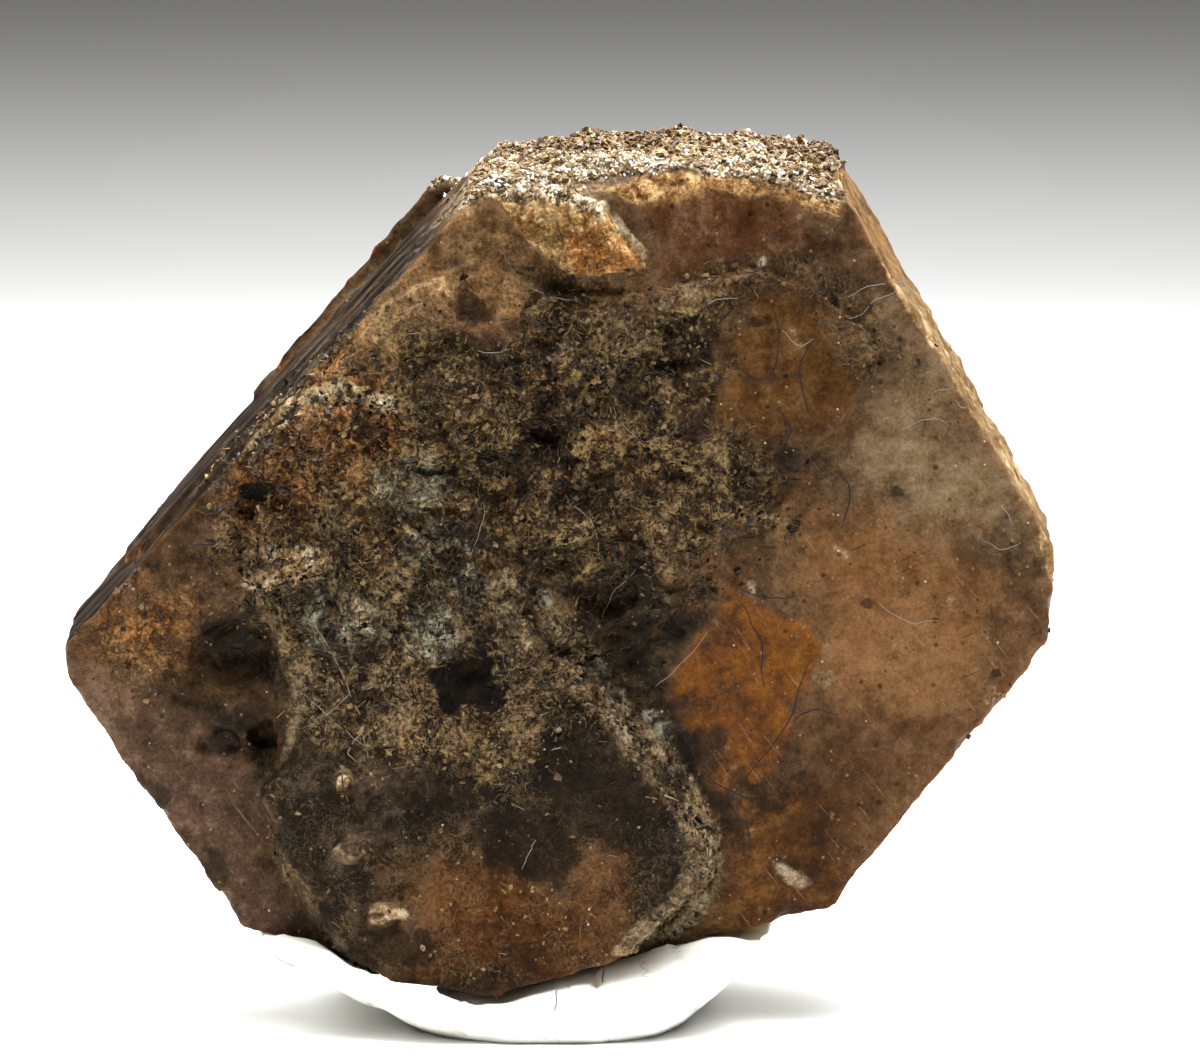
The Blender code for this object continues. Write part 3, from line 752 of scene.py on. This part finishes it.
def filaments(shade, colour):
    """Thin curly pale threads over the coarse places."""
    for size, tone, strength in ((0.9, TONES["crust"][2], 0.75), (0.4, TONES["crown"][2], 0.7)):
        curl = shade.noise(size, 3.0, 0.6, place=shade.aside(size * 31.0), twist=1.6)
        where = shade.span(shade.noise(1.9, 3.0, place=shade.aside(size * 57.0)), 0.42, 0.58)
        share = shade.product(shade.contour(curl, 0.035, strength), where, shade.mask("coarse"))
        colour = shade.blend(share, colour, linear(tone))
    return colour


def scratches(shade, colour):
    """Short fine scratches on the glassy faces, pale ones one way and dark ones another."""
    for rise, tone in ((-52.0, TONES["taupe"][2]), (24.0, TONES["blade"][1])):
        streak = shade.noise(1.0, 2.0, 0.6, shade.stretched(rise, (3.0, 0.16, 0.16)))
        share = shade.product(shade.span(streak, 0.64, 0.74, 0.0, 0.5), shade.mask("glassy"))
        colour = shade.blend(share, colour, linear(tone))
    return colour


def dark_places(shade, colour, crust):
    """Black pits and dim hollows, whose edges break up over the crust's grains."""
    deep = shade.calc("SUBTRACT", shade.product(shade.mask("dark"), 1.3), shade.product(crust, 0.7))
    colour = shade.blend(shade.span(deep, 0.0, 0.65), colour, shade.tones(crust, "pitch"))
    dim = shade.calc("SUBTRACT", shade.mask("dim"), shade.product(crust, 0.6))
    share = shade.product(shade.span(dim, -0.1, 0.6), 0.72)
    return shade.blend(share, colour, shade.tones(crust, "shade"))


def crunch(shade, colour):
    """Contrast from grain to grain, strong on the crust and weak on the glassy faces."""
    grain = shade.span(shade.noise(0.15, 2.0, 0.7), 0.32, 0.68, -1.0, 1.0, smooth=False)
    depth = shade.span(shade.mask("coarse"), 0.0, 1.0, 0.2, 0.62)
    node = shade.add("ShaderNodeVectorMath", operation="SCALE")
    shade.give(node.inputs[0], colour)
    shade.give(node.inputs["Scale"], shade.calc("ADD", shade.product(grain, depth), 1.0))
    return node.outputs[0]


def crystal_relief(shade, crust):
    """Bump finer than the mesh, strong on the crust and faint on the smooth faces."""
    height = shade.calc("ADD", shade.product(crust, 0.6), shade.noise(0.18, 4.0, 0.8))
    depth = shade.span(shade.mask("coarse"), 0.0, 1.0, 0.35, 1.0)
    return shade.bump(shade.product(height, depth), 0.8, 0.12)


def crystal_material():
    """Translucent brown stone: the glassy zones, then the crust's, then the side, the top and the pits."""
    shade = Shade("axinite")
    crust = crust_driver(shade)
    glass = glass_driver(shade)
    coarse = shade.mask("coarse")
    colour = zone_colours(shade, shade.tones(glass, "stone"), glass, GLASS_ZONES, 0.35)
    colour = thin_cracks(shade, scratches(shade, colour))
    colour = zone_colours(shade, colour, crust, CRUST_ZONES, 0.55)
    colour = specks(shade, filaments(shade, stains(shade, colour)))
    # The upper left side face, painted darker as shade and with streaks of painted sheen.
    colour = zone_colours(shade, colour, streak_and_sheen_driver(shade), ("left_face_shade_sheen",), 0.2)
    colour = shade.blend(shade.mask("druse"), colour, shade.tones(crust, "druse", TOP_GAIN))
    shade.set("Base Color", crunch(shade, dark_places(shade, colour, crust)))
    shade.set("Roughness", shade.span(coarse, 0.0, 1.0, 0.34, 0.55))
    shade.set("Normal", crystal_relief(shade, crust))
    shade.set("IOR", AXINITE_IOR)
    shade.set("Specular IOR Level", 0.05)
    shade.set("Specular Tint", WARM_TINT)
    shade.set("Transmission Weight", shade.product(shade.mask("clear"), 0.1))
    shade.subsurface(shade.span(coarse, 0.0, 1.0, 0.4, 0.06), 1.6, (1.0, 0.5, 0.22))
    return shade.material


def grain_material(name, tones, gain, gloss, sparkle):
    """Grains with a tone of their own kept on their points. Those whose tone is above sparkle are painted
    white, as sparkles.
    """
    shade = Shade(name)
    dark, middle, pale = [linear(colour, gain) for colour in tones]
    stops = ((0.15, dark), (0.6, middle), (sparkle - 0.02, pale), (sparkle, SPARKLE_COLOUR))
    clean = shade.ramp(shade.mask("tone"), stops)
    dirt = shade.noise(0.3, 4.0)
    shade.set("Base Color", shade.blend(shade.span(dirt, 0.45, 0.7, 0.0, 0.7), clean, dark))
    shade.set("Roughness", shade.span(dirt, 0.3, 0.7, gloss, gloss + 0.2))
    shade.set("IOR", AXINITE_IOR)
    shade.set("Specular IOR Level", 0.1)
    shade.subsurface(0.2, 0.4, (1.0, 0.6, 0.35))
    return shade.material


def putty_material():
    """White putty, a little translucent, with grey lines of painted shade along its folds."""
    shade = Shade("white_putty")
    grain = shade.noise(0.25, 4.0)
    white = shade.blend(shade.span(shade.noise(3.0, 3.0), 0.35, 0.65), PUTTY_CREAM, PUTTY_WHITE)
    fold_shade = shade.contour(shade.noise(4.0, 3.0, 0.6, twist=0.6), 0.012, 0.5)
    shade.set("Base Color", shade.blend(fold_shade, white, PUTTY_FOLD_SHADE))
    shade.set("Roughness", shade.span(grain, 0.3, 0.7, 0.5, 0.65))
    shade.set("Normal", shade.bump(shade.calc("ADD", grain, shade.noise(1.1, 3.0)), 0.35, 0.08))
    shade.subsurface(0.4, 1.2, (1.0, 0.85, 0.7))
    return shade.material


def plain_material(name, colour, roughness):
    shade = Shade(name)
    shade.set("Base Color", colour)
    shade.set("Roughness", roughness)
    return shade.material


# The crystal's skin

def weighed(masks, weights):
    """The sum of some masks by weight, held from 0 to 1."""
    return np.clip(sum(weight * masks[name] for name, weight in weights.items()), 0.0, 1.0)


def crystal_sides(points, normals):
    """How far each point belongs to the front, the top, the upper left face, its back and the right."""
    front = smooth_step(0.12, 0.4, -normals[:, 1]) * smooth_step(2.0, -1.0, points[:, 1])
    top = smooth_step(0.55, 0.85, normals[:, 2]) * smooth_step(TOP_LEVEL - 1.2, TOP_LEVEL, points[:, 2])
    elsewhere = (1.0 - front) * (1.0 - top)
    toward_left = normals @ LEFT_FACE_OUTWARD
    left = smooth_step(0.75, 0.95, toward_left)
    left_back = smooth_step(0.2, 0.5, toward_left) * (1.0 - left) * elsewhere
    right = smooth_step(0.2, 0.6, normals[:, 0]) * elsewhere
    return front, top, left, left_back, right


def crystal_masks(mesh):
    """The skin's points and all its masks, from its shape before the fine relief."""
    points = mesh_points(mesh)
    normals = spread(mesh_normals(mesh), mesh_edges(mesh), 8)
    length = np.linalg.norm(normals, axis=1)
    front, top, left, left_back, right = crystal_sides(points, normals / np.maximum(length, 1e-6)[:, None])
    drawn = Masks(points, front)
    masks = {name: drawn.most(parts) for name, parts in DRAWN.items()}
    masks["left_face_shade_sheen"] = left
    masks["druse"] = top

    level = points[:, 2] + 2.5 * fractal(points, 6.0, 57, 3)
    masks["grey_tan"] = np.maximum(masks["grey_tan"], right * hump(level, 31.5, 42.0))
    masks["taupe"] = np.max((masks["taupe"], right * 0.8, left_back * 0.55), axis=0)
    # The painted rim glow also runs in a band across the right side face.
    masks["rim"] = np.maximum(masks["rim"], right * hump(level, 21.5, 31.5) * 0.7)

    patches = smooth_step(0.05, 0.45, fractal(points, 9.0, 55, 3)) * (1.0 - front) * (1.0 - top)
    patches *= (1.0 - left) * (1.0 - right) * 0.8
    red_left = masks.pop("red_left")
    masks["red"] = np.maximum(masks["red"], red_left)
    masks["crust"] = np.maximum(masks["crust"] * (1.0 - 0.7 * red_left), patches)
    masks["crust"] *= (1.0 - 0.9 * masks["amber"]) * (1.0 - masks["flake"])
    masks["dark"] *= 1.0 - masks["flake"]

    masks["coarse"] = weighed(masks, COARSENESS) * (1.0 - 0.75 * masks["shade"])
    glassy = np.sum([masks[name] for name in GLASSY], axis=0) + 0.5 * (1.0 - front)
    masks["glassy"] = np.clip(glassy, 0.0, 1.0) * (1.0 - masks["coarse"])
    masks["clear"] = np.clip(masks["amber"] + 0.4 * masks["glassy"] + 0.6 * masks["rim"], 0.0, 1.0)
    masks["sharp"] = np.clip((1.0 - length) * 6.0, 0.0, 1.0)
    return points, masks, front


def crystal_relief_heights(points, masks, front):
    """How far each point of the skin moves along its normal."""
    grit = weighed(masks, RELIEF)
    busy = (grit + masks["druse"] + masks["flake"] + masks["edge"]) > 0.02
    blocks = np.zeros(len(points))
    blocks[busy] = 0.5 * block_crust(points[busy], 1.1, 21) + 0.5 * block_crust(points[busy], 0.5, 31)
    block_depth = 0.22 * grit + 0.22 * masks["druse"] + 0.25 * masks["flake"] + 0.15 * masks["edge"]
    height = (blocks - 0.35) * block_depth
    height += fractal(points, 2.2, 40, 5, 0.62) * (0.02 + 0.42 * grit)
    height += fractal(points, 7.0, 44, 3) * 0.09 * (1.0 - masks["coarse"])
    height += np.floor(fractal(points, 6.0, 46, 2) * 5.0) * 0.025 * masks["glassy"]
    streaks = (points @ LEFT_FACE_ALONG / 14.0, points[:, 1] * 1.6, points @ LEFT_FACE_OUTWARD)
    height += fractal(np.stack(streaks, axis=1), 1.0, 48, 4) * 0.12 * masks["left_face_shade_sheen"]
    height -= masks["dark"] * (0.04 + 0.25 * fractal(points, 0.9, 52, 4))
    height += masks["pale"] * (0.02 + 0.2 * fractal(points, 0.8, 58, 4))
    height += (masks["rim"] + 0.6 * masks["taupe"]) * (1.0 - front) * 0.3 * fractal(points, 1.1, 60, 4)
    height -= masks["sharp"] * (0.08 + 0.2 * fractal(points, 0.9, 50, 4))
    return height


def soften_top(mesh):
    """Melt the top face's large blocks into low swells, as a bed for its small crystals."""
    points = mesh_points(mesh)
    high = smooth_step(TOP_LEVEL - 0.5, TOP_LEVEL + 1.0, points[:, 2])
    edges = mesh_edges(mesh)
    top_edges = edges[high[edges].max(axis=1) > 0.0]
    melted = spread(points, top_edges, 40)
    set_mesh_points(mesh, points + (melted - points) * high[:, None])


def make_skin(material):
    skin = new_piece("crystal_skin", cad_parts["crystal"].data.copy())
    remake_on_grid(skin, SKIN_GRID)
    soften_top(skin.data)
    points, masks, front = crystal_masks(skin.data)
    normals = spread(mesh_normals(skin.data), mesh_edges(skin.data), 2)
    normals /= np.maximum(np.linalg.norm(normals, axis=1), 1e-6)[:, None]
    moved = points + normals * crystal_relief_heights(points, masks, front)[:, None]
    set_mesh_points(skin.data, keep_inside_cad_box(moved))
    for name, values in masks.items():
        store(skin.data, name, values)
    thin_out(skin, masks)
    set_mesh_points(skin.data, keep_inside_cad_box(mesh_points(skin.data)))
    skin.data.shade_smooth()
    finish_piece(skin, material, "crystal", slot="axinite")
    return skin


def thin_out(skin, masks):
    """Fewer triangles on the smooth faces and the back, where the eye misses none."""
    triangles = sum(len(face.vertices) - 2 for face in skin.data.polygons)
    if triangles <= SKIN_TRIANGLES:
        return
    plain = skin.vertex_groups.new(name="plain")
    behind = mesh_points(skin.data)[:, 1] > -2.0
    weights = np.where(behind, 1.0, 0.25) * (1.0 - 0.6 * masks["coarse"] * ~behind)
    levels = np.round(weights, 1)
    for level in np.unique(levels):
        plain.add(np.flatnonzero(levels == level).tolist(), float(level), "REPLACE")
    fewer = skin.modifiers.new("fewer", "DECIMATE")
    fewer.ratio = SKIN_TRIANGLES / triangles
    fewer.vertex_group = plain.name
    fewer.vertex_group_factor = 10.0
    settle(skin)
    skin.vertex_groups.clear()


# Grains and splinters that stand on the skin

CUBE_CORNERS = np.array(list(np.ndindex(2, 2, 2)), float) - 0.5
CUBE_FACES = np.array(((0, 1, 3, 2), (4, 6, 7, 5), (0, 4, 5, 1), (2, 3, 7, 6), (0, 2, 6, 4), (1, 5, 7, 3)))


def unit(vectors):
    return vectors / np.maximum(np.linalg.norm(vectors, axis=1), 1e-9)[:, None]


def turned_frames(normals, upright, chance):
    """Random rotations as 3 x 3 matrices, whose first axes lie along the skin or rise up to upright."""
    first = chance.normal(size=normals.shape)
    lying = first - normals * np.sum(first * normals, axis=1)[:, None]
    first = unit(unit(lying) + normals * (upright * chance.random(len(normals)))[:, None])
    second = chance.normal(size=normals.shape)
    second = unit(second - first * np.sum(first * second, axis=1)[:, None])
    return np.stack((first, second, np.cross(first, second)), axis=2)


def lopsided_blocks(kind, count, chance):
    """Corners of small sheared and tapered blocks, and the length and two thicknesses of each."""
    shortest, longest = kind.lengths
    length = shortest + (longest - shortest) * chance.random(count) ** 2.0
    width = length * chance.uniform(*kind.slim, count)
    shape = np.stack((length, width, length * chance.uniform(*kind.slim, count)), axis=1)
    corners = CUBE_CORNERS[None] * shape[:, None, :]
    corners[:, :, 0] += corners[:, :, 1] * chance.uniform(-0.6, 0.6, count)[:, None]
    taper = chance.uniform(0.3, 1.0, (count, 1, 1))
    corners[:, :, 1:] *= np.where(CUBE_CORNERS[None, :, :1] > 0.0, taper, 1.0)
    return corners, shape


def make_grains(name, skin, weights, kind, material, chance):
    """One mesh of small lopsided blocks scattered over the skin by weight, each with its own tone."""
    count = int(kind.count * GRAIN_SHARE)
    picks = chance.choice(len(weights), size=count, p=weights / weights.sum())
    normals = mesh_normals(skin.data)[picks]
    corners, shape = lopsided_blocks(kind, count, chance)
    corners = np.einsum("nij,nkj->nki", turned_frames(normals, kind.upright, chance), corners)
    rise = np.minimum(shape[:, 1], shape[:, 2]) * 0.2
    centres = mesh_points(skin.data)[picks] + normals * rise[:, None]
    corners = keep_inside_cad_box((corners + centres[:, None, :]).reshape(-1, 3))
    faces = (CUBE_FACES[None] + 8 * np.arange(count)[:, None, None]).reshape(-1, 4)
    mesh = bpy.data.meshes.new(name)
    mesh.from_pydata((corners * MM).tolist(), [], faces.tolist())
    tone = 0.75 * chance.random(count) + 0.25 * (fractal(centres, 4.0, 95, 2) * 2.0 + 0.5)
    store(mesh, "tone", np.repeat(np.clip(tone, 0.0, 0.97), 8))
    bm = bmesh.new()
    bm.from_mesh(mesh)
    bmesh.ops.recalc_face_normals(bm, faces=bm.faces)
    bm.to_mesh(mesh)
    bm.free()
    finish_piece(new_piece(name, mesh), material, slot="axinite")


def read_mask(mesh, name):
    values = np.empty(len(mesh.vertices), np.float32)
    mesh.attributes[name].data.foreach_get("value", values)
    return values.astype(float)


# Threads: lint that lies on the crystal, and thin dark cracks half sunk in it

LINT_LINES = (
    ((842, 300), (868, 288), (905, 282), (925, 296)), ((846, 322), (880, 300), (902, 290)),
    ((700, 308), (716, 300), (738, 298)), ((932, 392), (965, 386), (1000, 392)),
    ((1000, 505), (1008, 512), (1012, 524)), ((600, 622), (612, 596), (636, 568)),
    ((500, 250), (520, 280), (560, 300), (590, 296)), ((470, 345), (490, 352), (512, 348)),
    ((410, 470), (432, 488), (440, 505)), ((486, 500), (480, 530), (470, 556)),
    ((300, 690), (330, 720), (372, 750)), ((320, 720), (345, 700), (352, 690)),
    ((520, 870), (532, 850), (536, 838)), ((955, 400), (962, 408), (966, 406)),
    ((780, 330), (800, 345), (815, 340)), ((880, 600), (905, 620), (940, 622)),
    ((560, 500), (590, 520), (600, 552)), ((620, 420), (640, 440), (668, 436)),
    ((900, 430), (930, 420), (948, 426)), ((980, 540), (1004, 548), (1020, 540)),
)
SEAM_LINES = (
    ((708, 628), (697, 648), (676, 668), (655, 690)), ((300, 600), (330, 650), (352, 700), (375, 750)),
    ((360, 765), (350, 750), (362, 735), (368, 760)), ((812, 205), (836, 216), (852, 214)),
)
CRACK_LINES = (
    ((814, 652), (800, 690), (788, 722), (760, 760), (735, 792)), ((735, 792), (722, 810), (726, 830)),
    ((788, 722), (810, 712), (838, 716)), ((700, 772), (720, 786), (735, 792), (770, 806)),
    ((655, 690), (672, 716), (690, 748), (700, 772)), ((738, 600), (760, 640), (762, 690)),
    ((190, 546), (205, 545), (222, 543)), ((200, 505), (216, 512), (236, 508)),
    ((212, 630), (240, 620), (270, 626)), ((200, 655), (232, 648), (262, 664), (286, 690)),
    ((236, 612), (244, 640), (236, 676)), ((740, 590), (770, 600), (800, 596)),
    ((720, 350), (756, 380), (800, 372)), ((770, 300), (780, 340), (772, 390)),
    ((820, 330), (800, 372), (812, 420)), ((700, 820), (726, 826), (760, 822)),
    ((726, 800), (748, 830), (752, 852)), ((385, 960), (400, 985), (420, 990)),
    ((250, 495), (262, 480), (280, 484)), ((770, 400), (790, 430), (776, 456)),
    ((256, 480), (240, 500), (244, 516)), ((840, 470), (850, 500), (842, 530)),
)
PUTTY_LINES = (
    ((250, 962), (268, 960), (282, 966), (297, 968)), ((556, 990), (558, 1002), (553, 1014)),
    ((600, 968), (604, 976), (602, 984)),
)
THREAD_POINTS = 17
THREAD_SIDES = 5
THREAD_WANDER = 0.09
LINT_RADIUS = 0.016
LINT_LIFT = 0.015
CRACK_RADIUS = 0.03
FIBRE_RADIUS = 0.05


def skin_under_pixels(skin, pixels):
    """Points of the skin's front nearest to pixels of the photo frame, and their normals."""
    points = mesh_points(skin.data)
    normals = mesh_normals(skin.data)
    front = np.flatnonzero((normals[:, 1] < -0.1) & (points[:, 1] < 0.0))
    seen = photo_pixels(points[front])
    nearest = [front[np.argmin(np.sum((seen - pixel) ** 2, axis=1))] for pixel in pixels]
    return points[nearest], normals[nearest]


def curve_through(line, count):
    """Points spaced along a smooth line through a few given ones."""
    line = np.array(line, float)
    steps = np.linspace(0.0, len(line) - 1.0, count)
    low = np.clip(np.floor(steps).astype(int), 0, len(line) - 2)
    part = (steps - low)[:, None]
    before = line[np.clip(low - 1, 0, len(line) - 1)]
    start, end = line[low], line[low + 1]
    after = line[np.clip(low + 2, 0, len(line) - 1)]
    return 0.5 * (2.0 * start + (end - before) * part
                  + (2.0 * before - 5.0 * start + 4.0 * end - after) * part ** 2
                  + (3.0 * start - before - 3.0 * end + after) * part ** 3)


def add_thread(bm, skin, line, radius, lift):
    """A thin tube over the skin under a line of the photo frame."""
    places, normals = skin_under_pixels(skin, curve_through(line, THREAD_POINTS))
    places = spread(places, np.array([(k, k + 1) for k in range(THREAD_POINTS - 1)]), 1)
    places[:, 0] += THREAD_WANDER * value_noise(places, 0.6, 90)
    places[:, 2] += THREAD_WANDER * value_noise(places, 0.6, 91)
    places = places + normals * lift - np.array((0.0, max(lift, 0.0), 0.0))
    rings = []
    for step, place in enumerate(places):
        along = places[min(step + 1, THREAD_POINTS - 1)] - places[max(step - 1, 0)]
        side = np.cross(along, (0.1, -1.0, 0.2))
        side /= np.linalg.norm(side)
        other = np.cross(along, side)
        other /= np.linalg.norm(other)
        thick = radius * (0.35 + 0.65 * math.sin(math.pi * (step + 0.5) / THREAD_POINTS))
        ring = []
        for corner in range(THREAD_SIDES):
            angle = math.tau * corner / THREAD_SIDES
            spot = place + thick * (math.cos(angle) * side + math.sin(angle) * other)
            ring.append(bm.verts.new(Vector(keep_inside_cad_box(spot)) * MM))
        rings.append(ring)
    for ring, following in zip(rings, rings[1:]):
        for corner in range(THREAD_SIDES):
            after = (corner + 1) % THREAD_SIDES
            bm.faces.new((ring[corner], ring[after], following[after], following[corner]))
    bm.faces.new(rings[0])
    bm.faces.new(rings[-1])


def make_threads(name, surface, lines, radius, lift, material, slot):
    """One mesh of threads over a surface, under lines of the photo frame."""
    bm = bmesh.new()
    for line in lines:
        add_thread(bm, surface, line, radius, lift)
    bmesh.ops.recalc_face_normals(bm, faces=bm.faces)
    mesh = bpy.data.meshes.new(name)
    bm.to_mesh(mesh)
    bm.free()
    finish_piece(new_piece(name, mesh), material, slot=slot)


# Putty

def make_putty(material):
    """The putty with thumb dents and creases."""
    putty = new_piece("putty_lump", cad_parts["putty"].data.copy())
    remake_on_grid(putty, PUTTY_GRID)
    mesh = putty.data
    points = mesh_points(mesh)
    edges = mesh_edges(mesh)
    soft = spread(points, edges, 3)
    normals = mesh_normals(mesh)
    creases = np.abs(fractal(points, 3.5, 70, 3))
    dents = fractal(points, 4.5, 74, 3)
    lift = 0.22 * dents - 0.3 * np.exp(-creases * 16.0) + 0.03 * fractal(points, 0.6, 76, 3)
    above = smooth_step(0.05, 0.8, points[:, 2])
    moved = soft + normals * (lift * above)[:, None]
    moved[:, 2] = np.where(points[:, 2] < 0.06, 0.0, np.maximum(moved[:, 2], 0.0))
    set_mesh_points(mesh, keep_inside_cad_box(moved))
    mesh.shade_smooth()
    finish_piece(putty, material, "putty", slot="white_putty")
    return putty


# Stage, light and camera

FLOOR_SIZE = 3000.0
FLOOR_COLOUR = (0.80, 0.80, 0.79, 1.0)
KEY_PLACE = (75.0, 12.0, 255.0)
KEY_TARGET = (5.0, 5.0, 15.0)
KEY_SIZE = 280.0
KEY_POWER = 0.9
KEY_SPREAD = 60.0
BACK_PLACE = (0.0, 125.0, 260.0)
BACK_TARGET = (0.0, 125.0, 0.0)
BACK_SIZE = 240.0
BACK_POWER = 1.15
BACK_SPREAD = 170.0
FILL_PLACE = (-120.0, -10.0, 200.0)
FILL_TARGET = (-25.0, -10.0, 0.0)
FILL_SIZE = 160.0
FILL_POWER = 0.12
FILL_SPREAD = 60.0
WORLD_LIGHT = 0.1
WORLD_COLOUR = (1.0, 0.98, 0.95, 1.0)


def make_floor():
    bpy.ops.mesh.primitive_plane_add(size=FLOOR_SIZE * MM)
    floor = bpy.context.object
    floor.name = "floor"
    floor.data.materials.append(plain_material("floor", FLOOR_COLOUR, 0.75))


def area_light(name, place, target, size, power, spread_angle):
    data = bpy.data.lights.new(name, "AREA")
    data.shape = "SQUARE"
    data.size = size * MM
    data.energy = power
    data.spread = math.radians(spread_angle)
    lamp = bpy.data.objects.new(name, data)
    lamp.location = Vector(place) * MM
    lamp.rotation_euler = (Vector(target) - Vector(place)).to_track_quat("-Z", "Y").to_euler()
    bpy.context.scene.collection.objects.link(lamp)


def make_light():
    area_light("key", KEY_PLACE, KEY_TARGET, KEY_SIZE, KEY_POWER, KEY_SPREAD)
    area_light("fill", FILL_PLACE, FILL_TARGET, FILL_SIZE, FILL_POWER, FILL_SPREAD)
    area_light("back", BACK_PLACE, BACK_TARGET, BACK_SIZE, BACK_POWER, BACK_SPREAD)
    world = bpy.data.worlds.new("studio")
    world.use_nodes = True
    background = world.node_tree.nodes["Background"]
    background.inputs["Color"].default_value = WORLD_COLOUR
    background.inputs["Strength"].default_value = WORLD_LIGHT
    bpy.context.scene.world = world


def make_camera():
    data = bpy.data.cameras.new("camera")
    data.lens = LENS
    data.sensor_width = SENSOR
    data.clip_start = 10.0 * MM
    camera = bpy.data.objects.new("camera", data)
    camera.location = Vector(CAMERA_PLACE) * MM
    camera.rotation_euler = Vector(CAMERA_BACK).to_track_quat("Z", "Y").to_euler()
    bpy.context.scene.collection.objects.link(camera)
    bpy.context.scene.camera = camera


def make_crumbs(skin, chance):
    """Grains and splinters over the crust, and small crystals on the top face."""
    masks = {name: read_mask(skin.data, name) for name in (*GRAININESS, "dark", "shade", "druse")}
    grit = weighed(masks, GRAININESS) * (1.0 - 0.95 * masks["dark"]) * (1.0 - 0.8 * masks["shade"])
    crust = grain_material("crust_grains", TONES["crust"], FRONT_GAIN, 0.35, NO_SPARKLE)
    druse = grain_material("druse_crystals", TONES["druse"], TOP_GAIN, 0.15, SPARKLE_TONE)
    make_grains("crust_grains", skin, grit, CRUST_GRAINS, crust, chance)
    make_grains("crust_splinters", skin, grit, CRUST_SPLINTERS, crust, chance)
    make_grains("druse_crystals", skin, masks["druse"] ** 4, DRUSE_CRYSTALS, druse, chance)


def make_lines(skin, putty):
    """Lint on the crystal, pale and dark cracks half sunk in it, and fibres on the putty."""
    lint = plain_material("lint", LINT_COLOUR, 0.7)
    seam = plain_material("seam", linear(SEAM_TONE), 0.5)
    crack = plain_material("crack", linear(TONES["pitch"][1]), 0.9)
    fibre = plain_material("fibre", FIBRE_COLOUR, 0.8)
    make_threads("lint", skin, LINT_LINES, LINT_RADIUS, LINT_LIFT, lint, "white_putty")
    make_threads("pale_seams", skin, SEAM_LINES, CRACK_RADIUS, 0.0, seam, "axinite")
    make_threads("dark_cracks", skin, CRACK_LINES, CRACK_RADIUS, 0.0, crack, "axinite")
    make_threads("putty_fibres", putty, PUTTY_LINES, FIBRE_RADIUS, 0.0, fibre, "white_putty")


def main():
    scene = bpy.context.scene
    scene.view_settings.view_transform = "Standard"
    make_camera()
    make_floor()
    make_light()
    skin = make_skin(crystal_material())
    make_crumbs(skin, np.random.default_rng(SEED))
    make_lines(skin, make_putty(putty_material()))


main()
